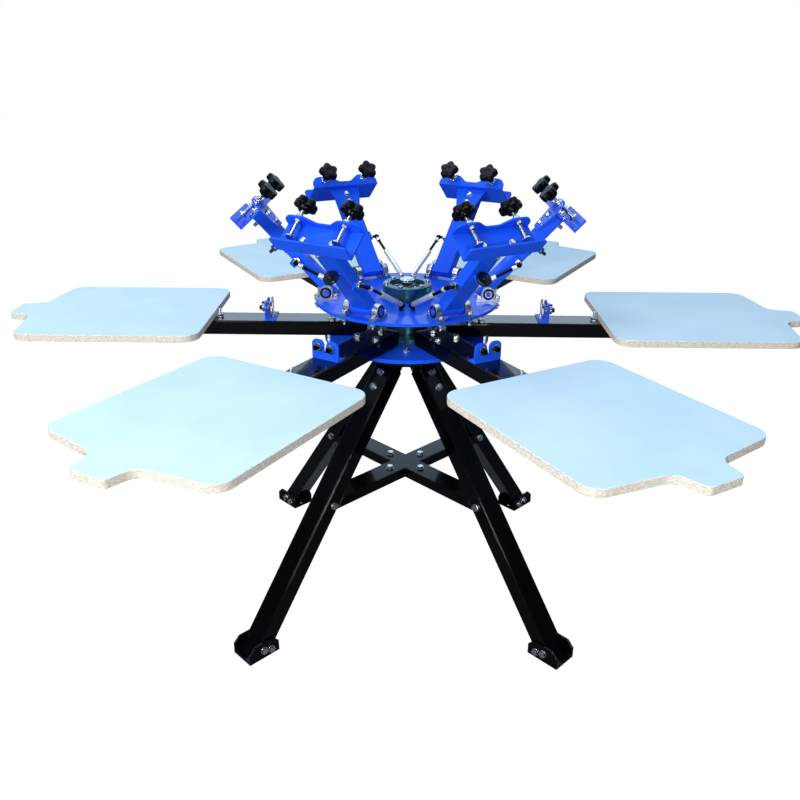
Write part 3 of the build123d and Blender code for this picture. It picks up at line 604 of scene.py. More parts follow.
@dataclass(frozen=True)
class PowderCoat:
    """Baked powder coat on steel: even colour, soft gloss, orange-peel surface, rounded edges."""

    name: str
    colour: str
    shade: str
    roughness: float
    specular: float
    gloss: float                # clear gloss seen at grazing angles
    face_on: float = 0.1        # share of that gloss seen face on
    grazing: tuple[float, float] = (0.5, 0.72)    # facing values over which the gloss rises
    coat_ior: float = 1.5
    coat_roughness: float = 0.03
    cloud_mm: float = 90.0      # where the colour drifts
    handled_mm: float = 28.0    # where hands have dulled the sheen
    peel_mm: float = 1.6        # size of the orange-peel cells
    peel_height_mm: float = 0.02
    edge_mm: float = 1.2        # how far the paint rounds an edge

    def material(self) -> bpy.types.Material:
        """Build the material; the coat's own weight rises from face on to grazing."""
        material, tree = new_material(self.name)
        place = {"Vector": add_node(tree, "ShaderNodeTexCoord").outputs["Object"]}
        cloud = add_node(tree, "ShaderNodeTexNoise",
                         place | {"Scale": per_mm(self.cloud_mm), "Detail": 3.0})
        tone = add_node(tree, "ShaderNodeMix",
                        {MIX_FACTOR: cloud.outputs["Fac"], MIX_COLOUR_A: linear(self.shade),
                         MIX_COLOUR_B: linear(self.colour)}, data_type="RGBA")
        handled = add_node(tree, "ShaderNodeTexNoise",
                           place | {"Scale": per_mm(self.handled_mm), "Detail": 5.0})
        sheen = add_node(tree, "ShaderNodeMapRange",
                         {"Value": handled.outputs["Fac"], "From Min": 0.3, "From Max": 0.7,
                          "To Min": self.roughness * 0.85, "To Max": self.roughness * 1.2})
        weight = add_node(tree, "ShaderNodeLayerWeight", {"Blend": 0.5})
        gloss = add_node(tree, "ShaderNodeMapRange",
                         {"Value": weight.outputs["Facing"], "From Min": self.grazing[0],
                          "From Max": self.grazing[1], "To Min": self.gloss * self.face_on,
                          "To Max": self.gloss}, interpolation_type="SMOOTHSTEP")
        edge = add_node(tree, "ShaderNodeBevel", {"Radius": self.edge_mm * MM}, samples=4)
        peel = add_node(tree, "ShaderNodeTexNoise",
                        place | {"Scale": per_mm(self.peel_mm), "Detail": 1.0})
        bump = add_node(tree, "ShaderNodeBump",
                        {"Height": peel.outputs["Fac"], "Strength": 0.35,
                         "Distance": self.peel_height_mm * MM, "Normal": edge.outputs["Normal"]})
        close_with_shader(tree, {
            "Base Color": tone.outputs[MIX_COLOUR_OUT], "Roughness": sheen.outputs["Result"],
            "Normal": bump.outputs["Normal"], "Specular IOR Level": self.specular,
            "Coat Weight": gloss.outputs["Result"], "Coat Roughness": self.coat_roughness,
            "Coat IOR": self.coat_ior, "Coat Normal": edge.outputs["Normal"]})
        return material


@dataclass(frozen=True)
class PlatedSteel:
    """Plated or bare machined metal: bright reflections, faint clouds and turning marks."""

    name: str
    colour: str
    stain: str
    roughness: float
    metallic: float = 1.0
    cloud_mm: float = 9.0
    mark_mm: float = 0.7        # spacing of the tool marks, drawn coarser than the real 0.1
    mark_height_mm: float = 0.006
    edge_mm: float = 0.4

    def material(self) -> bpy.types.Material:
        """Build the material; the stained clouds are duller as well as darker."""
        material, tree = new_material(self.name)
        place = {"Vector": add_node(tree, "ShaderNodeTexCoord").outputs["Object"]}
        cloud = add_node(tree, "ShaderNodeTexNoise",
                         place | {"Scale": per_mm(self.cloud_mm), "Detail": 4.0})
        tone = add_node(tree, "ShaderNodeValToRGB", {"Fac": cloud.outputs["Fac"]})
        set_stops(tone, (0.3, self.stain), (0.6, self.colour))
        sheen = add_node(tree, "ShaderNodeMapRange",
                         {"Value": cloud.outputs["Fac"], "From Min": 0.25, "From Max": 0.75,
                          "To Min": self.roughness * 1.35, "To Max": self.roughness * 0.8})
        edge = add_node(tree, "ShaderNodeBevel", {"Radius": self.edge_mm * MM}, samples=4)
        marks = add_node(tree, "ShaderNodeTexNoise",
                         place | {"Scale": per_mm(self.mark_mm), "Detail": 2.0})
        bump = add_node(tree, "ShaderNodeBump",
                        {"Height": marks.outputs["Fac"], "Strength": 0.25,
                         "Distance": self.mark_height_mm * MM, "Normal": edge.outputs["Normal"]})
        close_with_shader(tree, {
            "Base Color": tone.outputs["Color"], "Metallic": self.metallic,
            "Roughness": sheen.outputs["Result"], "Normal": bump.outputs["Normal"]})
        return material


@dataclass(frozen=True)
class MouldedPlastic:
    """Moulded phenolic, nylon or polyethylene: a faint flow pattern and polished high spots."""

    name: str
    colour: str
    roughness: float
    coat: float
    coat_roughness: float = 0.12
    specular: float = 0.08
    flow_mm: float = 14.0       # the melt's flow lines
    grain_mm: float = 0.9
    grain_height_mm: float = 0.015

    def material(self) -> bpy.types.Material:
        """Build the material; the flow lines show in the sheen, and the grain in the relief."""
        material, tree = new_material(self.name)
        place = {"Vector": add_node(tree, "ShaderNodeTexCoord").outputs["Object"]}
        flow = add_node(tree, "ShaderNodeTexNoise",
                        place | {"Scale": per_mm(self.flow_mm), "Detail": 4.0, "Distortion": 1.2})
        sheen = add_node(tree, "ShaderNodeMapRange",
                         {"Value": flow.outputs["Fac"], "From Min": 0.3, "From Max": 0.7,
                          "To Min": self.roughness * 0.75, "To Max": self.roughness * 1.3})
        grain = add_node(tree, "ShaderNodeTexNoise",
                         place | {"Scale": per_mm(self.grain_mm), "Detail": 2.0})
        bump = add_node(tree, "ShaderNodeBump", {"Height": grain.outputs["Fac"], "Strength": 0.3,
                                                 "Distance": self.grain_height_mm * MM})
        close_with_shader(tree, {
            "Base Color": linear(self.colour), "Roughness": sheen.outputs["Result"],
            "Normal": bump.outputs["Normal"], "Specular IOR Level": self.specular,
            "Coat Weight": self.coat, "Coat Roughness": self.coat_roughness})
        return material


@dataclass(frozen=True)
class LaminatedBoard:
    """Fibreboard faced with melamine: a cool white satin face, and a bare tan edge in layers."""

    name: str
    face: str
    face_shade: str
    edge: str
    edge_shade: str
    face_roughness: float = 0.5
    edge_roughness: float = 0.8
    specular: float = 0.12
    level_from: float = 0.8     # a normal this upright, up or down, is on the melamine
    cloud_mm: float = 160.0     # where the face's white drifts
    fibre_mm: float = 6.6       # bundles of fibre, drawn several times their real size
    layer_mm: float = 2.2       # pressed layers across the thickness
    relief_mm: float = 0.05

    def material(self) -> bpy.types.Material:
        """Build the material; what faces up or down is melamine, and the rest is bare edge."""
        material, tree = new_material(self.name)
        place = add_node(tree, "ShaderNodeTexCoord")
        normal = add_node(tree, "ShaderNodeSeparateXYZ", {0: place.outputs["Normal"]})
        level = add_node(tree, "ShaderNodeMath", {0: normal.outputs["Z"]}, operation="ABSOLUTE")
        on_face = add_node(tree, "ShaderNodeMath", {0: level.outputs[0], 1: self.level_from},
                           operation="GREATER_THAN")
        cloud = add_node(tree, "ShaderNodeTexNoise",
                         {"Vector": place.outputs["Object"], "Scale": per_mm(self.cloud_mm),
                          "Detail": 3.0})
        white = add_node(tree, "ShaderNodeValToRGB", {"Fac": cloud.outputs["Fac"]})
        set_stops(white, (0.35, self.face_shade), (0.65, self.face))
        along = self.layer_mm / self.fibre_mm
        stretch = add_node(tree, "ShaderNodeMapping",
                           {"Vector": place.outputs["Object"], "Scale": (along, along, 1.0)})
        layers = add_node(tree, "ShaderNodeTexNoise",
                          {"Vector": stretch.outputs["Vector"], "Scale": per_mm(self.layer_mm),
                           "Detail": 5.0})
        tan = add_node(tree, "ShaderNodeValToRGB", {"Fac": layers.outputs["Fac"]})
        set_stops(tan, (0.35, self.edge_shade), (0.65, self.edge))
        tone = add_node(tree, "ShaderNodeMix",
                        {MIX_FACTOR: on_face.outputs[0], MIX_COLOUR_A: tan.outputs["Color"],
                         MIX_COLOUR_B: white.outputs["Color"]}, data_type="RGBA")
        sheen = add_node(tree, "ShaderNodeMapRange",
                         {"Value": on_face.outputs[0], "To Min": self.edge_roughness,
                          "To Max": self.face_roughness})
        bump = add_node(tree, "ShaderNodeBump", {"Height": layers.outputs["Fac"], "Strength": 0.25,
                                                 "Distance": self.relief_mm * MM})
        close_with_shader(tree, {
            "Base Color": tone.outputs[MIX_COLOUR_OUT], "Roughness": sheen.outputs["Result"],
            "Normal": bump.outputs["Normal"], "Specular IOR Level": self.specular})
        return material


FINISHES = {
    "blue_powder_coat": PowderCoat("powder_coat_royal_blue", "#1A5CF2", "#1552E4", 0.36, 0.10, 0.28),
    "black_powder_coat": PowderCoat("powder_coat_gloss_black", "#040506", "#020304", 0.2, 0.05, 0.8,
                                    face_on=0.22, coat_ior=1.7, edge_mm=8.0),
    "laminated_board": LaminatedBoard("melamine_faced_fibreboard", "#D0ECFA", "#C8E6F8", "#EBE4D8",
                                      "#C6BAAA"),
    "zinc_bolts": PlatedSteel("zinc_plated_bolt_steel", "#DADDE0", "#A9AEB3", 0.24),
    "zinc_hardware": PlatedSteel("zinc_plated_hardware_steel", "#D6DADE", "#A3A8AE", 0.22),
    "bearing_steel": PlatedSteel("ground_bearing_steel", "#C9CCD0", "#8E9297", 0.20, cloud_mm=14.0),
    "plated_housing": PlatedSteel("plated_housing_steel", "#2E6472", "#1C4650", 0.24, metallic=0.55,
                                  cloud_mm=30.0),
    "cast_pillow": PlatedSteel("tumbled_die_cast_zinc", "#D2D8DD", "#98A0A9", 0.30, mark_mm=1.4,
                               mark_height_mm=0.05, edge_mm=1.2),
    "ground_shaft": PlatedSteel("hard_chromed_shaft_steel", "#DADDDF", "#B5BABF", 0.10),
    "chrome_tube": PlatedSteel("satin_chromed_tube", "#DCDFE0", "#C2C6C9", 0.26, metallic=0.5,
                               cloud_mm=20.0),
    "black_rod": PlatedSteel("black_oxide_steel", "#191B1E", "#0E0F11", 0.28),
    "dark_steel": PlatedSteel("blackened_tool_steel", "#4A4D52", "#3A3D42", 0.30),
    "black_knob": MouldedPlastic("moulded_black_phenolic", "#040405", 0.34, 0.12),
    "black_plastic": MouldedPlastic("moulded_black_nylon", "#0A0B0D", 0.45, 0.0),
    "green_plastic": MouldedPlastic("moulded_green_polyethylene", "#18A24A", 0.35, 0.1),
}
SLOTLESS = ("green_plastic", "dark_steel")    # finishes that the record has no slot for


class Paint:
    """Hands out each finish's material, made once."""

    def __init__(self) -> None:
        """Start with no materials."""
        self.made: dict[str, bpy.types.Material] = {}

    def get(self, slot: str) -> bpy.types.Material:
        """The material of a finish, made when it is first asked for.

        Args:
            slot: the finish's name in FINISHES.

        Returns:
            The material.
        """
        if slot not in self.made:
            self.made[slot] = FINISHES[slot].material()
        return self.made[slot]


PAINT = Paint()


# ---------------------------------------------------------------- pieces
def piece(name: str, surface: Surface, slot: str, body: str, replaces: Sequence[str] = (),
          sharp: float = 32.0) -> bpy.types.Object:
    """Make a piece of the press from a surface.

    Args:
        name: the piece's name.
        surface: its surface, in millimetres, in the press's own frame.
        slot: the finish, by the record's material slot.
        body: the body it rides on.
        replaces: CAD nodes that it stands for.
        sharp: edges bent more than this many degrees stay crisp.

    Returns:
        The object.
    """
    mesh = bpy.data.meshes.new(name)
    mesh.from_pydata((surface.points * MM).tolist(), [], surface.faces)
    shape = bmesh.new()
    shape.from_mesh(mesh)
    bmesh.ops.remove_doubles(shape, verts=shape.verts, dist=MERGED)
    bmesh.ops.recalc_face_normals(shape, faces=shape.faces)
    shape.to_mesh(mesh)
    shape.free()
    mesh.polygons.foreach_set("use_smooth", np.ones(len(mesh.polygons), bool))
    mesh.set_sharp_from_angle(angle=math.radians(sharp))
    mesh.materials.append(PAINT.get(slot))
    made = bpy.data.objects.new(name, mesh)
    bpy.context.scene.collection.objects.link(made)
    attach(made, body)
    slot not in SLOTLESS
    if replaces:
        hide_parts(*replaces)
    LOG.info("%s: %d faces on %s", name, len(mesh.polygons), body)
    return made


def dress(*nodes: str) -> None:
    """Give CAD nodes the finish of their slot in the record.

    Args:
        *nodes: the nodes' names.
    """
    slots = {part["node"]: part["material_slot"] for part in frame["record"]["subparts"]}
    for name in nodes:
        node = frame["nodes"][name]
        node.data.materials.clear()
        node.data.materials.append(PAINT.get(slots[name]))
        LOG.info("%s: dressed in %s", name, slots[name])


def around(surface: Surface, azimuths: Sequence[float] = STATION_AZIMUTHS) -> Surface:
    """Copies of a surface turned about the main shaft."""
    return joined(surface.moved(turn(Axis.Z, azimuth)) for azimuth in azimuths)


@dataclass(frozen=True)
class Bolt:
    """A hexagon bolt on its washer, standing on z = 0."""

    flats: float = 17.0
    head: float = 6.5
    washer: float = 21.0
    washer_thickness: float = 1.6
    end_diameter: float = 0.0    # a thread end that shows past the head
    end_length: float = 0.0
    end_pitch: float = 1.8       # coarser than a standard thread, so that it shows

    def surface(self) -> Surface:
        """The bolt's surface."""
        made = collar(self.washer, self.flats * 0.5, 0.0, self.washer_thickness, 0.3, 28)
        made += hexagon(self.flats, self.head).moved(shift(z=self.washer_thickness))
        if self.end_length:
            low = self.washer_thickness + self.head - 1.0
            made += threaded(self.end_diameter, self.end_pitch, low, low + self.end_length)
        return made


LARGE_BOLT = Bolt()
SMALL_BOLT = Bolt(flats=13.0, head=5.0, washer=16.5, washer_thickness=1.2)


@dataclass
class Stand:
    """Four leaning legs, their feet, the cross brace and the head block with its fixed shaft."""

    lean: float = 36.2                 # of the legs, in degrees
    leg_width: float = 65.0
    leg_depth: float = 45.0
    foot_u: float = 606.0              # a leg's outer face at the floor
    top_z: float = 711.0
    top_bolts: tuple[float, ...] = (22.0, 68.0)    # along the leg from its top
    ear_bolts: tuple[tuple[float, float], ...] = ((568.0, 26.0), (544.0, 18.0))    # u and z
    ear_half: float = 37.5
    brace_top: float = 379.0
    brace_height: float = 30.0
    brace_half: float = 31.0           # half of a brace bar's width
    brace_bolt_u: float = 64.0
    plate: float = 240.0
    plate_bottom: float = 726.7
    plate_top: float = 736.7
    boss: float = 130.0
    boss_top: float = 754.7
    strap_half: float = 17.0           # half of a strap's width
    strap_thickness: float = 9.0
    strap_bottom: float = 626.0
    weld_ends: tuple[float, float] = (680.0, 632.0)
    shaft: float = 32.0
    shaft_bottom: float = 720.7
    shaft_top: float = 942.0
    ring: float = 52.0                 # collar that carries the colour carousel
    ring_bottom: float = 860.7
    ring_top: float = 876.7
    nut: float = 42.0
    nut_bottom: float = 933.0
    nut_top: float = 940.0

    def leg_place(self) -> np.ndarray:
        """Frame on a leg's outer face: +Z out of the face, +X down along the leg."""
        lean = math.radians(self.lean)
        top_u = self.foot_u - self.top_z * math.tan(lean)
        return facing((top_u, 0.0, self.top_z), (math.cos(lean), 0.0, math.sin(lean)),
                      (math.sin(lean), 0.0, -math.cos(lean)))

    def inner_u(self, z: float) -> float:
        """Level distance from the shaft to a leg's inner face."""
        lean = math.radians(self.lean)
        return self.foot_u - self.leg_depth / math.cos(lean) - z * math.tan(lean)

    def bolts(self) -> Surface:
        """Bolts of the leg tops, the feet and the brace."""
        bolt = LARGE_BOLT.surface()
        brace_z = self.brace_top - self.brace_height / 2
        leg_u = self.inner_u(brace_z) + self.leg_depth / 2
        made = [bolt.moved(self.leg_place() @ shift(x=along)) for along in self.top_bolts]
        made.append(bolt.moved(shift(self.brace_bolt_u, 0.0, self.brace_top)))
        spots = [(u, self.ear_half, z) for u, z in self.ear_bolts]
        spots.append((leg_u, self.leg_width / 2, brace_z))
        for u, v, z in spots:
            made += [bolt.moved(shift(u, side * v, z) @ turn(Axis.X, -90.0 * side)) for side in BOTH]
        return around(joined(made), LEG_AZIMUTHS)

    def welds(self) -> Surface:
        """Beads along the head block's straps, and where the brace's bars cross."""
        straps = joined(bead(*((self.inner_u(z), side * self.strap_half, z) for z in self.weld_ends))
                        for side in BOTH)
        corner = self.brace_half * math.sqrt(2.0)
        upright = bead((corner, 0.0, self.brace_top - self.brace_height), (corner, 0.0, self.brace_top))
        return around(straps, LEG_AZIMUTHS) + around(upright, (0.0, 90.0, 180.0, 270.0))

    def head(self) -> Surface:
        """Round plate and boss, and under it a sloped strap behind each leg's top.

        A strap is a four-cornered bar: the leg's inner line and a line its thickness nearer the
        shaft, between two heights, carried across the leg.
        """
        sunk = 1.0
        reach = self.strap_thickness / math.cos(math.radians(self.lean))
        low, high = self.strap_bottom, self.plate_bottom + sunk
        strap = [[(self.inner_u(low), v, low), (self.inner_u(low) - reach, v, low),
                  (self.inner_u(high) - reach, v, high), (self.inner_u(high), v, high)]
                 for v in (-self.strap_half, self.strap_half)]
        plate = drum(self.plate, self.plate_bottom, self.plate_top, edge=0.8, columns=96)
        boss = drum(self.boss, self.plate_top - 0.5, self.boss_top, edge=0.8, columns=72)
        return plate + boss + around(woven(np.array(strap), caps=True), LEG_AZIMUTHS)

    def shaft_bar(self) -> Surface:
        """Fixed shaft with its chamfered end and the collar that carries the colour carousel."""
        return (drum(self.shaft, self.shaft_bottom, self.shaft_top, edge=1.5, columns=56)
                + collar(self.ring, self.shaft, self.ring_bottom, self.ring_top, edge=1.0, columns=56))

    def shaft_nut(self) -> Surface:
        """Round nut near the shaft's end, and the washer in the colour bearing's mouth."""
        low = LAYOUT.mouth_floor + 0.6
        return (collar(self.ring, self.shaft + 0.4, low, low + 2.5)
                + collar(self.nut, self.shaft, self.nut_bottom, self.nut_top, edge=1.4, columns=56))

    def build(self) -> None:
        """Make and dress the stand."""
        body = Body.STAND.value
        dress("stand_legs", "stand_feet", "cross_brace")
        piece("stand_head_plate", self.head(), "black_powder_coat", body, ("stand_head",))
        piece("fixed_shaft", self.shaft_bar(), "ground_shaft", body, ("main_shaft",))
        piece("stand_fasteners", self.bolts(), "zinc_bolts", body, ("stand_bolts",))
        piece("stand_welds", self.welds(), "black_powder_coat", body, sharp=60.0)
        piece("shaft_nut", self.shaft_nut(), "ground_shaft", body)


@dataclass
class StationCarousel:
    """Hub plate, bearing, six arms with their gates, and the six pallets."""

    arm_height: float = 40.0
    arm_bolts: tuple[tuple[float, float], ...] = ((138.0, 0.0), (205.0, 28.0), (205.0, -28.0))
    hub_bolt_u: float = 160.0          # between the arms, on the hub plate
    pallet_stud_u: float = 519.0
    gate_stud_u: float = 371.0         # inside the gate, on its foot
    gate_thickness: float = 4.0
    race_wall: float = 2.2
    race_inner: float = 12.0
    roller_bore: float = 8.0
    pallet_inner_u: float = 530.0
    pallet_half: float = 225.0
    shoulder_u: float = 1000.0
    nose_root_u: float = 1022.0
    nose_root_half: float = 56.0
    nose_end_u: float = 1085.0
    nose_end_half: float = 44.0

    def board(self) -> Surface:
        """One pallet on +X: half its outline, mirrored, with the rims eased by 1.2 mm."""
        side = [(self.nose_end_u, self.nose_end_half, 12.0),
                (self.nose_root_u, self.nose_root_half, 34.0),
                (self.shoulder_u, self.pallet_half, 38.0),
                (self.pallet_inner_u, self.pallet_half, 42.0)]
        outline = rounded([(u, -v, radius) for u, v, radius in reversed(side)] + side, 14)
        low, high = LAYOUT.arm_top, LAYOUT.pallet_top
        rim, eased = 1.2, 0.35
        return carried(outline, [(rim, low), (eased, low + eased), (0.0, low + rim),
                                 (0.0, high - rim), (eased, high - eased), (rim, high)])

    def bolts(self) -> Surface:
        """Bolts of the hub and the arms, studs of the gates and the pallets, rollers' nuts."""
        large, small = LARGE_BOLT.surface(), SMALL_BOLT.surface()
        pallet_stud = replace(LARGE_BOLT, end_diameter=10.0, end_length=16.0).surface()
        gate_stud = replace(SMALL_BOLT, end_diameter=8.0, end_length=48.8).surface()
        top = LAYOUT.arm_top
        made = [large.moved(shift(u, v, top)) for u, v in self.arm_bolts]
        made.append(gate_stud.moved(shift(self.gate_stud_u, 0.0, top + self.gate_thickness)))
        made.append(pallet_stud.moved(shift(self.pallet_stud_u, 0.0, top)))
        hub_spot = shift(self.hub_bolt_u, 0.0, top - self.arm_height)
        made.append(large.moved(turn(Axis.Z, STEP / 2) @ hub_spot))
        for side in BOTH:
            place = shift(LAYOUT.gate_u - self.gate_thickness, side * LAYOUT.roller_spread / 2,
                          LAYOUT.roller_z)
            made.append(small.moved(place @ turn(Axis.Y, -90.0)))
        return around(joined(made))

    def on_axles(self, surface: Surface) -> Surface:
        """Copy a surface to every roller.

        Args:
            surface: it has z = 0 at the roller's inner face and +Z outwards.

        Returns:
            All the copies as one.
        """
        places = [shift(LAYOUT.gate_u + LAYOUT.roller_gap, side * LAYOUT.roller_spread / 2,
                        LAYOUT.roller_z) @ turn(Axis.Y, 90.0) for side in BOTH]
        return around(joined(surface.moved(place) for place in places))

    def races(self) -> Surface:
        """Outer and inner race of one of the gates' ball bearings."""
        return (collar(LAYOUT.roller, LAYOUT.roller - 2 * self.race_wall, 0.0, LAYOUT.roller_width)
                + collar(self.race_inner, self.roller_bore, -LAYOUT.roller_gap, LAYOUT.roller_width))

    def shield(self) -> Surface:
        """Pressed steel shields between the two races."""
        set_back = 0.5
        return collar(LAYOUT.roller - 2 * self.race_wall, self.race_inner, set_back,
                      LAYOUT.roller_width - set_back, edge=0.1)

    def axle(self) -> Surface:
        """Socket-headed axle that stands out past its roller."""
        low = LAYOUT.roller_width
        return revolved([(3.95, -1.0), (3.95, low), (6.5, low), (6.5, low + 7.0), (5.9, low + 7.8),
                         (3.3, low + 7.8), (3.3, low + 4.0), (0.4, low + 3.4)], 24)

    def build(self) -> None:
        """Make and dress the station carousel."""
        body = Body.STATIONS.value
        dress("hub_plate", "station_bearing", "station_arms", "arm_end_caps", "registration_gates")
        piece("station_fasteners", self.bolts(), "zinc_bolts", body, ("station_bolts",))
        piece("gate_roller_races", self.on_axles(self.races()), "bearing_steel", body,
              ("gate_rollers",))
        piece("gate_roller_shields", self.on_axles(self.shield()), "zinc_bolts", body)
        piece("gate_axle_screws", self.on_axles(self.axle()), "black_rod", body)
        board = self.board()
        for number, azimuth in enumerate(STATION_AZIMUTHS, 1):
            piece(f"pallet_board_{number}", board.moved(turn(Axis.Z, azimuth)), "laminated_board", body,
                  (f"pallet_{number}",), sharp=20.0)


@dataclass
class ColourCarousel:
    """Disc, bearing housing, pillow blocks and the struts' anchors."""

    disc_bottom: float = 883.0
    disc_top: float = 891.0
    barrel_top: float = 928.0
    barrel: float = 134.0
    mouth: float = 96.0
    race_inner: float = 82.0
    race_height: float = 12.0
    ball_count: int = 15
    ball_diameter: float = 8.0
    ball_circle: float = 65.0
    ball_rise: float = 3.6             # of the balls' middles over the mouth's floor
    pillow_v: float = 43.0
    pillow_width: float = 16.0
    pillow_foot: float = 9.0
    bush: float = 31.0
    bolt_span: float = 49.0
    stud: float = 8.0
    stud_drop: float = 14.0            # below the disc
    lug_half: float = 7.0
    lug_thickness: float = 5.0
    cap_azimuth: float = -33.0
    cap_z: float = 917.0

    def bolts(self) -> Surface:
        """Bolts through the pillow blocks' feet, with nuts and studs under the disc."""
        head = SMALL_BOLT.surface().moved(shift(z=self.disc_top + self.pillow_foot))
        nut = SMALL_BOLT.surface().moved(shift(z=self.disc_bottom) @ turn(Axis.X, 180.0))
        stud = threaded(self.stud, SMALL_BOLT.end_pitch, self.disc_bottom - self.stud_drop,
                        self.disc_bottom - SMALL_BOLT.head)
        one = head + nut + stud
        spots = [(LAYOUT.pivot_u + end * self.bolt_span / 2, side * self.pillow_v)
                 for side in BOTH for end in BOTH]
        return around(joined(one.moved(shift(*spot)) for spot in spots))

    def anchors(self) -> Surface:
        """Upright lugs with round tops, and the black hinge pins of the struts."""
        low, half, eased = self.disc_top - LAYOUT.anchor_z, self.lug_half, 0.5
        outline = rounded([(-half, low, eased), (half, low, eased), (half, half, 6.6),
                           (-half, half, 6.6)], 8)
        lug = carried(outline, [(eased, 0.0), (0.0, eased), (0.0, self.lug_thickness - eased),
                                (eased, self.lug_thickness)])
        pin_head = hexagon(LAYOUT.pin_head, LAYOUT.pin_head_height)
        pin = (drum(LAYOUT.pin, -1.0, 12.0, edge=0.5, columns=20)
               + pin_head.moved(shift(z=-LAYOUT.pin_head_height)))
        v = LAYOUT.strut_v - LAYOUT.eye_half - self.lug_thickness
        return joined((lug + pin).moved(turn(Axis.Z, azimuth)
                                        @ sideways(LAYOUT.anchor_u, side * v, LAYOUT.anchor_z, side))
                      for azimuth, side in zip(STATION_AZIMUTHS, STRUT_SIDES))

    def bearing(self) -> Surface:
        """Ring of balls and their outer race in the housing's mouth."""
        low = LAYOUT.mouth_floor
        one = ball(self.ball_diameter).moved(shift(self.ball_circle / 2, 0.0, low + self.ball_rise))
        race = collar(self.mouth - 0.8, self.race_inner, low, low + self.race_height)
        return around(one, [360.0 / self.ball_count * k for k in range(self.ball_count)]) + race

    def cap_screws(self) -> Surface:
        """Six socket screws in the housing's rim."""
        screw = revolved([(5.6, 0.0), (5.6, 4.6), (5.0, 5.4), (2.8, 5.4), (2.8, 2.4), (0.3, 2.0)], 20)
        radius = (self.barrel + self.mouth) / 4
        return around(screw.moved(shift(radius, 0.0, self.barrel_top)),
                      [azimuth + 12.0 for azimuth in STATION_AZIMUTHS])

    def bushes(self) -> Surface:
        """Black nylon bushes that line the pillow blocks' bores, one at each face."""
        ring = collar(self.bush, LAYOUT.pivot_tube, 0.0, 0.9, edge=0.3)
        half = self.pillow_width / 2
        places = [sideways(LAYOUT.pivot_u, side * self.pillow_v + face * half, LAYOUT.pivot_z, face)
                  for side in BOTH for face in BOTH]
        return around(joined(ring.moved(place) for place in places))

    def grease_cap(self) -> Surface:
        """Domed cap on the housing's side."""
        cap = revolved([(6.2, -0.6), (6.2, 1.6), (5.2, 3.0), (2.0, 3.8), (0.2, 3.9)], 24)
        return cap.moved(turn(Axis.Z, self.cap_azimuth) @ shift(self.barrel / 2, 0.0, self.cap_z)
                         @ turn(Axis.Y, 90.0))

    def build(self) -> None:
        """Make and dress the colour carousel."""
        body = Body.COLOURS.value
        dress("colour_disc", "colour_bearing", "pillow_blocks")
        piece("disc_fasteners", self.bolts(), "zinc_bolts", body, ("disc_fixings",))
        piece("strut_anchors", self.anchors(), "black_rod", body)
        piece("colour_bearing_balls", self.bearing(), "bearing_steel", body)
        piece("colour_bearing_screws", self.cap_screws(), "zinc_bolts", body)
        piece("pivot_bushes", self.bushes(), "black_plastic", body)
        piece("grease_cap", self.grease_cap(), "green_plastic", body)


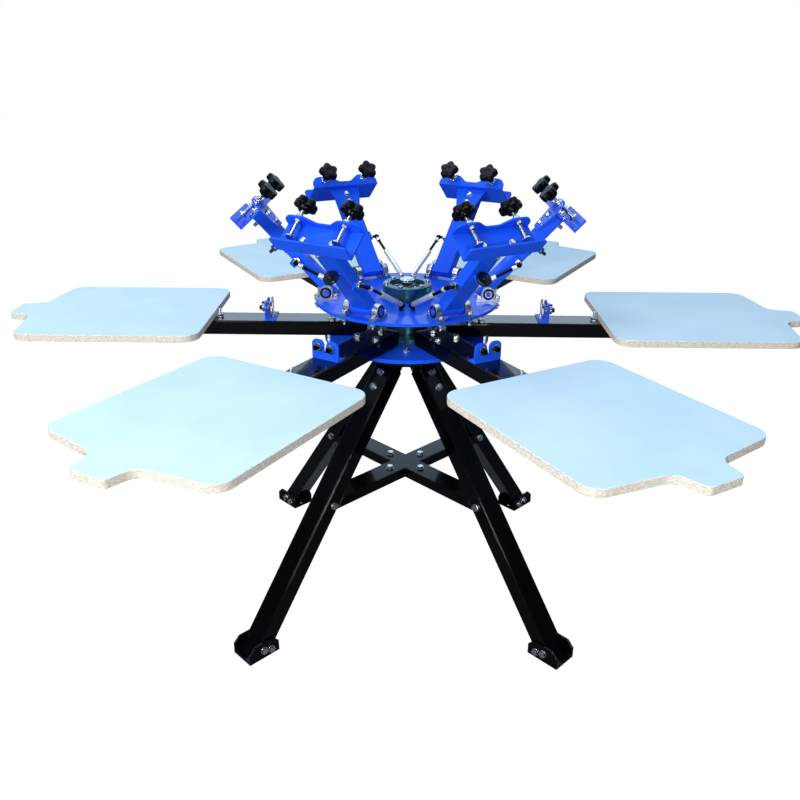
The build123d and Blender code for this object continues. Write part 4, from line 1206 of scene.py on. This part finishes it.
@dataclass
class Head:
    """One printing head: arm, clamp channel, guide, and the fittings on them."""

    number: int
    azimuth: float
    strut_side: int
    arm_width: float = 56.0
    arm_top: float = 22.0
    arm_bottom: float = -8.0
    clamp_u: float = 268.0
    clamp_plate: float = 4.5
    clamp_top: float = 44.0
    plate_bolt_v: float = 40.0
    gusset_bolts: tuple[float, ...] = (252.0, 224.0)
    gusset: float = 5.0
    stop: float = 10.0             # off-contact stop screw under the arm's outer end
    stop_u: float = 252.0
    stop_drop: float = 18.0
    stop_nut_height: float = 6.0
    stop_pitch: float = 2.0
    screw_u: float = 292.0
    screw_v: float = 64.0
    nut_bore: float = 10.4         # clears the clamp screws' threads
    guide: float = 38.0
    guide_half: float = 4.0
    guide_play: float = 0.3
    lug_thickness: float = 6.0
    lug_half: float = 10.0
    lug_nut: float = 19.0
    lug_nut_height: float = 9.0
    spindle: float = 9.0
    spindle_pitch: float = 2.2     # coarser than a standard thread, as the stop's is
    spindle_sunk: float = 1.0      # how far it reaches into the lug's nut
    pivot_half: float = 52.0       # from the arm's middle to an end of the pivot tube
    race: float = 20.0             # bright ring on a pivot end
    core: float = 12.0             # blue middle of a pivot end
    weld_width: float = 4.5

    def place(self) -> np.ndarray:
        """Frame of the raised head."""
        return (turn(Axis.Z, self.azimuth) @ shift(LAYOUT.pivot_u, 0.0, LAYOUT.pivot_z)
                @ turn(Axis.Y, -LAYOUT.raised))

    def clamp_nuts(self) -> Surface:
        """The nut and washer over the clamp's top flange and the nut under it, for one screw."""
        washer, nut, under = 1.4, 7.0, 8.0    # their heights
        flats, bore, top = LARGE_BOLT.flats, self.nut_bore, self.clamp_top
        return (collar(LARGE_BOLT.washer, bore, top, top + washer)
                + hexagon(flats, nut, bore=bore).moved(shift(z=top + washer))
                + hexagon(flats, under, bore=bore).moved(shift(z=top - self.clamp_plate - under)))

    def fasteners(self) -> Surface:
        """Bolts of the gusset and the web, the clamp screws' nuts, the stop and the lug's nut."""
        small, nuts = SMALL_BOLT.surface(), self.clamp_nuts()
        made = [small.moved(shift(u, 0.0, self.arm_top + self.gusset)) for u in self.gusset_bolts]
        web_u = self.clamp_u + self.clamp_plate
        for side in BOTH:
            made.append(small.moved(outwards(web_u, side * self.plate_bolt_v, 0.0)))
            made.append(nuts.moved(shift(self.screw_u, side * self.screw_v)))
        height = self.stop_nut_height
        stop_nut = hexagon(LARGE_BOLT.flats, height).moved(shift(z=self.arm_bottom - height))
        stop = threaded(self.stop, self.stop_pitch, self.arm_bottom - self.stop_drop, self.arm_bottom)
        made.append((stop + stop_nut).moved(shift(self.stop_u)))
        v = self.strut_side * (self.arm_width / 2 + self.lug_thickness)
        lug_nut = hexagon(self.lug_nut, self.lug_nut_height)
        made.append(lug_nut.moved(sideways(LAYOUT.lug_u, v, 0.0, self.strut_side)))
        return joined(made)

    def guide_disc(self) -> Surface:
        """Registration disc with its bolt, in the notch of the two rollers when the arm is level.

        Its centre is over the rollers' axles by the height of a triangle: the hypotenuse is the
        sum of the two radii and the play, and the base is half the rollers' spread.
        """
        disc = drum(self.guide, -self.guide_half, self.guide_half, edge=1.0, columns=48)
        bolt = hexagon(SMALL_BOLT.flats, SMALL_BOLT.head).moved(shift(z=self.guide_half))
        reach = (self.guide + LAYOUT.roller) / 2 + self.guide_play
        rise = math.sqrt(reach ** 2 - (LAYOUT.roller_spread / 2) ** 2)
        u = LAYOUT.gate_u + LAYOUT.roller_gap + LAYOUT.roller_width / 2 - LAYOUT.pivot_u
        return (disc + bolt).moved(outwards(u, 0.0, LAYOUT.roller_z + rise - LAYOUT.pivot_z))

    def strut_pin(self) -> Surface:
        """Black spindle from the lug to the strut's rod end."""
        v = LAYOUT.strut_v
        head = hexagon(LAYOUT.pin_head, LAYOUT.pin_head_height).moved(shift(z=v + LAYOUT.eye_half + 0.1))
        low = self.arm_width / 2 + self.lug_thickness + self.lug_nut_height - self.spindle_sunk
        spindle = (threaded(self.spindle, self.spindle_pitch, low, v - LAYOUT.eye_half)
                   + drum(LAYOUT.pin, v - 4.0, v + 6.0, edge=0.5, columns=20) + head)
        return spindle.moved(sideways(LAYOUT.lug_u, 0.0, 0.0, self.strut_side))

    def lug(self) -> Surface:
        """Blue pad welded on the arm's side, long to the top on -V and to the bottom on +V."""
        half, short, long, corner = self.lug_half, 6.0, 20.0, 4.0
        low, high = (-short, long) if self.strut_side < 0 else (-long, short)
        outline = rounded([(-half, low, corner), (half, low, corner), (half, high, corner),
                           (-half, high, corner)], 6)
        pad = carried(outline, [(0.0, 0.0), (0.0, self.lug_thickness - 0.8), (0.8, self.lug_thickness)])
        v = self.strut_side * self.arm_width / 2
        return pad.moved(sideways(LAYOUT.lug_u, v, 0.0, self.strut_side))

    def on_pivot(self, end: Surface, v: float) -> Surface:
        """A surface copied round the tilt axis at +v and -v, with +Z outwards."""
        return joined(end.moved(sideways(0.0, side * v, 0.0, side)) for side in BOTH)

    def welds(self) -> Surface:
        """Beads round the arm's outer end and round the pivot tube on both sides of the arm."""
        half, low, top = self.arm_width / 2, self.arm_bottom, self.arm_top
        lines = (((-half, low), (half, low)), ((-half, low), (-half, top)), ((half, low), (half, top)))
        beads = joined(bead((self.clamp_u, *start), (self.clamp_u, *end), self.weld_width)
                       for start, end in lines)
        return beads + self.on_pivot(seam(LAYOUT.pivot_tube / 2, 4.0), half)

    def build(self) -> None:
        """Make and dress the head."""
        tag, body, place = self.number, Body.HEAD.of(self.number), self.place()
        dress(f"head_frame_{tag}")
        seal = drum(LAYOUT.pivot_tube - 0.8, -0.6, 0.3, edge=0.1, columns=36)
        race = collar(self.race, self.core, 0.1, 0.7, edge=0.2, columns=36)
        core = drum(self.core, -0.2, 0.9, edge=0.3, columns=28)
        piece(f"head_fasteners_{tag}", self.fasteners().moved(place), "zinc_hardware", body,
              (f"head_hardware_{tag}",))
        for name, surface, slot in (
                ("guide_disc", self.guide_disc(), "dark_steel"),
                ("strut_spindle", self.strut_pin(), "black_rod"),
                ("strut_lug", self.lug(), "blue_powder_coat"),
                ("pivot_seals", self.on_pivot(seal, self.pivot_half), "black_plastic"),
                ("pivot_races", self.on_pivot(race, self.pivot_half), "bearing_steel"),
                ("pivot_cores", self.on_pivot(core, self.pivot_half), "blue_powder_coat")):
            piece(f"{name}_{tag}", surface.moved(place), slot, body)
        piece(f"head_welds_{tag}", self.welds().moved(place), "blue_powder_coat", body, sharp=60.0)


@dataclass
class LiftStrut:
    """A telescoping strut: a chromed sleeve hinged on the disc and a black plunger on the head."""

    number: int
    azimuth: float
    side: int
    sleeve: float = 14.0
    sleeve_start: float = 13.0
    sleeve_length: float = 112.0
    bore: float = 10.0
    plunger: float = 8.0
    plunger_length: float = 149.0
    eye: float = 13.0
    eye_thickness: float = 6.0
    pin_play: float = 0.2
    neck: float = 5.6              # from an eye's middle to where its neck starts

    @property
    def span(self) -> tuple[float, float]:
        """From the lower pin to the upper one at rest, level and upright.

        The upper pin is lug_u along the raised arm from the pivot.
        """
        tilt = math.radians(LAYOUT.raised)
        return (LAYOUT.pivot_u + LAYOUT.lug_u * math.cos(tilt) - LAYOUT.anchor_u,
                LAYOUT.pivot_z + LAYOUT.lug_u * math.sin(tilt) - LAYOUT.anchor_z)

    def place(self) -> np.ndarray:
        """Frame at the anchor pin with +X along the strut."""
        level, upright = self.span
        return (turn(Axis.Z, self.azimuth)
                @ shift(LAYOUT.anchor_u, self.side * LAYOUT.strut_v, LAYOUT.anchor_z)
                @ turn(Axis.Y, -math.degrees(math.atan2(upright, level))))

    def eye_at(self, at: float) -> Surface:
        """Flat eye round a hinge pin.

        Args:
            at: the pin's place along the strut.

        Returns:
            The eye's surface, its bore along y.
        """
        half = self.eye_thickness / 2
        ring = collar(self.eye, LAYOUT.pin + self.pin_play, -half, half, edge=0.8)
        return ring.moved(facing((at, 0.0, 0.0), (0.0, 1.0, 0.0), (1.0, 0.0, 0.0)))

    def along(self, profile: Sequence[tuple[float, float]], ring: bool = False) -> Surface:
        """A profile of (radius, distance) turned about the strut's axis."""
        return revolved(profile, 28, ring).moved(turn(Axis.Y, 90.0))

    def tube(self) -> Surface:
        """Drawn tube with a rolled mouth and a swaged foot; hollow so the plunger can slide."""
        start, end, half = self.sleeve_start, self.sleeve_start + self.sleeve_length, self.sleeve / 2
        floor = start + 8.0
        swage = [(0.4, start - 3.0), (4.2, start - 3.0), (5.0, start), (half - 1.0, start + 2.0),
                 (half, start + 4.0)]
        rolled_groove = [(half, end - 7.0), (half - 0.5, end - 6.4), (half - 0.5, end - 5.6),
                         (half, end - 5.0)]
        mouth = [(half, end - 1.0), (half - 0.8, end), (self.bore / 2, end)]
        return self.along(swage + rolled_groove + mouth + [(self.bore / 2, floor), (0.4, floor)])

    def foot(self) -> Surface:
        """Black hinge eye and neck at the sleeve's foot."""
        top = self.sleeve_start - 2.0
        neck = self.along([(0.3, self.neck), (3.4, self.neck), (3.4, top), (0.3, top)])
        return self.eye_at(0.0) + neck

    def rod(self, length: float) -> Surface:
        """Black rod from inside the sleeve to the upper eye.

        Args:
            length: from the lower pin to the upper one, at rest.

        Returns:
            The surface.
        """
        end, half = length - self.neck, self.plunger / 2
        start = end - self.plunger_length
        bar = self.along([(0.3, start), (half - 0.6, start), (half, start + 1.0), (half, end - 1.0),
                          (half - 0.6, end), (0.3, end)])
        return bar + self.eye_at(length)

    def lock_nut(self, length: float) -> Surface:
        """Bright lock nut and ferrule below the upper eye.

        Args:
            length: from the lower pin to the upper one, at rest.

        Returns:
            The surface.
        """
        nut = hexagon(11.0, 6.0).moved(shift(length - 20.0) @ turn(Axis.Y, 90.0))
        ferrule = self.along([(4.0, length - 14.0), (5.2, length - 14.0), (5.2, length - 8.0),
                              (4.0, length - 7.0)], ring=True)
        return nut + ferrule

    def build(self) -> None:
        """Make the strut's pieces."""
        tag, place, length = self.number, self.place(), math.hypot(*self.span)
        lower, upper = Body.SLEEVE.of(tag), Body.PLUNGER.of(tag)
        piece(f"strut_sleeve_{tag}", self.tube().moved(place), "chrome_tube", lower,
              (f"strut_tube_{tag}",))
        piece(f"strut_foot_eye_{tag}", self.foot().moved(place), "black_rod", lower)
        piece(f"strut_plunger_{tag}", self.rod(length).moved(place), "black_rod", upper,
              (f"strut_rod_{tag}",))
        piece(f"strut_lock_nut_{tag}", self.lock_nut(length).moved(place), "chrome_tube", upper)


@dataclass
class ClampScrew:
    """A star-knobbed screw with a swivel pad, in one side of a head's clamp."""

    head: Head
    side: Side
    diameter: float = 10.0
    pitch: float = 2.4
    pad_w: float = -5.0            # the pad's upper face
    knob_w: float = 65.0           # the skirt's lower face
    skirt: float = 8.0
    skirt_radius: float = 17.0
    knob_height: float = 19.0
    core: float = 42.0
    reach: float = 57.0
    lobes: int = 5

    def rod(self) -> Surface:
        """Threaded rod and its swivel pad."""
        w = self.pad_w
        thread = threaded(self.diameter, self.pitch, w - 1.0, self.knob_w + 1.0)
        pad = revolved([(0.3, w - 5.0), (9.8, w - 5.0), (11.0, w - 4.0), (11.0, w - 1.6), (9.6, w),
                        (7.2, w), (6.4, w + 1.7), (5.4, w + 2.2), (0.3, w + 2.2)], 32)
        return thread + pad

    def knob(self) -> Surface:
        """Moulded star on its tapered skirt."""
        low, high, radius = self.knob_w, self.knob_w + self.skirt, self.skirt_radius
        skirt = revolved([(4.0, low), (12.4, low), (13.6, low + 1.0), (radius, high),
                          (radius, high + 2.0), (4.0, high + 2.0)], 40, ring=True)
        return skirt + star_knob(high, self.knob_height, self.core, self.reach, self.lobes)

    def build(self) -> None:
        """Make the screw's pieces."""
        tag = f"{self.head.number}_{self.side.name.lower()}"
        place = self.head.place() @ shift(self.head.screw_u, self.side.value * self.head.screw_v)
        body = Body.SCREW.of(tag)
        piece(f"clamp_rod_{tag}", self.rod().moved(place), "zinc_hardware", body,
              (f"clamp_screw_{tag}",))
        piece(f"clamp_knob_{tag}", self.knob().moved(place), "black_knob", body, sharp=45.0)


# ---------------------------------------------------------------- studio
@dataclass(frozen=True)
class Lamp:
    """A square area lamp, placed and aimed in metres."""

    name: str
    spot: tuple[float, float, float]
    aim: tuple[float, float, float]
    watts: float
    size: float

    def hang(self) -> None:
        """Make the lamp; its +Z points away from what it is aimed at."""
        data = bpy.data.lights.new(self.name, "AREA")
        data.energy = self.watts
        data.size = self.size
        made = bpy.data.objects.new(self.name, data)
        bpy.context.scene.collection.objects.link(made)
        away = np.subtract(self.spot, self.aim)
        away /= np.linalg.norm(away)
        overhead = abs(away[2]) > 0.95
        side = np.cross((0.0, 1.0, 0.0) if overhead else (0.0, 0.0, 1.0), away)
        side /= np.linalg.norm(side)
        made.matrix_world = Matrix(facing(self.spot, away, side).tolist())


LAMPS = (
    Lamp("key", (-2.2, -2.9, 2.7), (0.0, 0.0, 0.9), watts=128.0, size=2.0),
    Lamp("front", (0.35, -3.3, 1.4), (0.0, 0.0, 0.6), watts=44.0, size=0.42),
    Lamp("top", (-0.6, 0.4, 3.9), (0.0, 0.0, 0.8), watts=22.0, size=2.0),
)


@dataclass
class Studio:
    """The camera, the pale floor, and surroundings that are white only to the camera."""

    across: float = -36.545        # camera's place before its turn about the shaft
    back: float = 2108.03
    height: float = 1498.39
    pitch: float = 23.5748         # its angles, in degrees
    yaw: float = 0.5262
    roll: float = -0.43987
    turned: float = 0.95
    focal_share: float = 791.91 / 800.0    # focal length over the picture's width
    sensor: float = 36.0
    floor_size: float = 60.0       # in metres
    floor_colour: str = "#747A80"
    floor_lift: float = 0.945      # glow that takes the floor to white for the camera
    bright_side: tuple[float, float, float] = (0.0, 0.45, 0.89)    # behind and above the press
    sky_colour: str = "#C6DDF6"
    dim: float = 0.04              # strength of the surroundings away from that side
    bright: float = 1.8            # strength at its middle, as gloss and metal see it
    soft_share: float = 0.32       # share of the strength that lights matt surfaces
    fade: tuple[float, float] = (0.25, 0.8)    # cosines over which dim turns to bright

    def camera(self) -> None:
        """Place the camera."""
        pitch, yaw, roll = (math.radians(angle) for angle in (self.pitch, self.yaw, self.roll))
        heading = np.array([math.sin(yaw), math.cos(yaw), 0.0])
        ahead = heading * math.cos(pitch) - np.array([0.0, 0.0, math.sin(pitch)])
        right = np.array([math.cos(yaw), -math.sin(yaw), 0.0])
        up = heading * math.sin(pitch) + np.array([0.0, 0.0, math.cos(pitch)])
        place = np.eye(4)
        place[:3, 0] = right * math.cos(roll) - up * math.sin(roll)
        place[:3, 1] = right * math.sin(roll) + up * math.cos(roll)
        place[:3, 2] = -ahead
        place[:3, 3] = np.array([self.across, -self.back, self.height]) * MM
        data = bpy.data.cameras.new("camera")
        data.sensor_width = self.sensor
        data.lens = self.sensor * self.focal_share
        made = bpy.data.objects.new("camera", data)
        bpy.context.scene.collection.objects.link(made)
        made.matrix_world = Matrix((turn(Axis.Z, self.turned) @ place).tolist())
        bpy.context.scene.camera = made

    def floor(self) -> None:
        """Lay the floor: grey and matt to light, lifted to white for the camera alone."""
        mesh = bpy.data.meshes.new("floor")
        half = self.floor_size / 2
        corners = [(-half, -half, 0.0), (half, -half, 0.0), (half, half, 0.0), (-half, half, 0.0)]
        mesh.from_pydata(corners, [], [(0, 1, 2, 3)])
        material, tree = new_material("matt_studio_floor")
        ray = add_node(tree, "ShaderNodeLightPath")
        lift = add_node(tree, "ShaderNodeMath", {0: ray.outputs["Is Camera Ray"], 1: self.floor_lift},
                        operation="MULTIPLY")
        close_with_shader(tree, {
            "Base Color": linear(self.floor_colour), "Roughness": 1.0, "Specular IOR Level": 0.0,
            "Emission Color": (1.0, 1.0, 1.0, 1.0), "Emission Strength": lift.outputs[0]})
        mesh.materials.append(material)
        made = bpy.data.objects.new("floor", mesh)
        bpy.context.scene.collection.objects.link(made)

    def world(self) -> None:
        """Light the surroundings: plain white to the camera, and to the press a soft pale sky.

        The sky's strength rises smoothly from dim to bright with the cosine of the angle to the
        bright side, and matt surfaces get a share of it.
        """
        world = bpy.data.worlds.new("studio")
        bpy.context.scene.world = world
        world.use_nodes = True
        tree = world.node_tree
        tree.nodes.clear()
        ray = add_node(tree, "ShaderNodeLightPath")
        seen = add_node(tree, "ShaderNodeMath",
                        {0: ray.outputs["Is Camera Ray"], 1: ray.outputs["Is Transmission Ray"]},
                        operation="MAXIMUM")
        way = add_node(tree, "ShaderNodeTexCoord")
        towards = add_node(tree, "ShaderNodeVectorMath",
                           {0: way.outputs["Generated"], 1: self.bright_side}, operation="DOT_PRODUCT")
        fill = add_node(tree, "ShaderNodeMapRange",
                        {"Value": towards.outputs["Value"], "From Min": self.fade[0],
                         "From Max": self.fade[1], "To Min": self.dim, "To Max": self.bright},
                        interpolation_type="SMOOTHSTEP")
        share = add_node(tree, "ShaderNodeMapRange",
                         {"Value": ray.outputs["Is Diffuse Ray"], "To Min": 1.0,
                          "To Max": self.soft_share})
        level = add_node(tree, "ShaderNodeMath", {0: fill.outputs["Result"], 1: share.outputs["Result"]},
                         operation="MULTIPLY")
        strength = add_node(tree, "ShaderNodeMix", {MIX_FACTOR: seen.outputs[0],
                                                    MIX_NUMBER_A: level.outputs[0], MIX_NUMBER_B: 1.0})
        tint = add_node(tree, "ShaderNodeMix",
                        {MIX_FACTOR: seen.outputs[0], MIX_COLOUR_A: linear(self.sky_colour),
                         MIX_COLOUR_B: (1.0, 1.0, 1.0, 1.0)}, data_type="RGBA")
        glow = add_node(tree, "ShaderNodeBackground",
                        {"Color": tint.outputs[MIX_COLOUR_OUT], "Strength": strength.outputs[0]})
        add_node(tree, "ShaderNodeOutputWorld", {"Surface": glow.outputs["Background"]})

    def build(self) -> None:
        """Set up the studio."""
        bpy.context.scene.view_settings.view_transform = "Standard"
        self.camera()
        self.floor()
        self.world()
        for lamp in LAMPS:
            lamp.hang()


def main() -> None:
    """Build every sub-assembly in order."""
    logging.basicConfig(level=logging.INFO, format="%(name)s %(message)s")
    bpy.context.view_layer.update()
    Studio().build()
    Stand().build()
    StationCarousel().build()
    ColourCarousel().build()
    for number, (azimuth, strut_side) in enumerate(zip(STATION_AZIMUTHS, STRUT_SIDES), 1):
        head = Head(number, azimuth, strut_side)
        head.build()
        LiftStrut(number, azimuth, strut_side).build()
        for side in Side:
            ClampScrew(head, side).build()


if __name__ == "__main__":
    main()
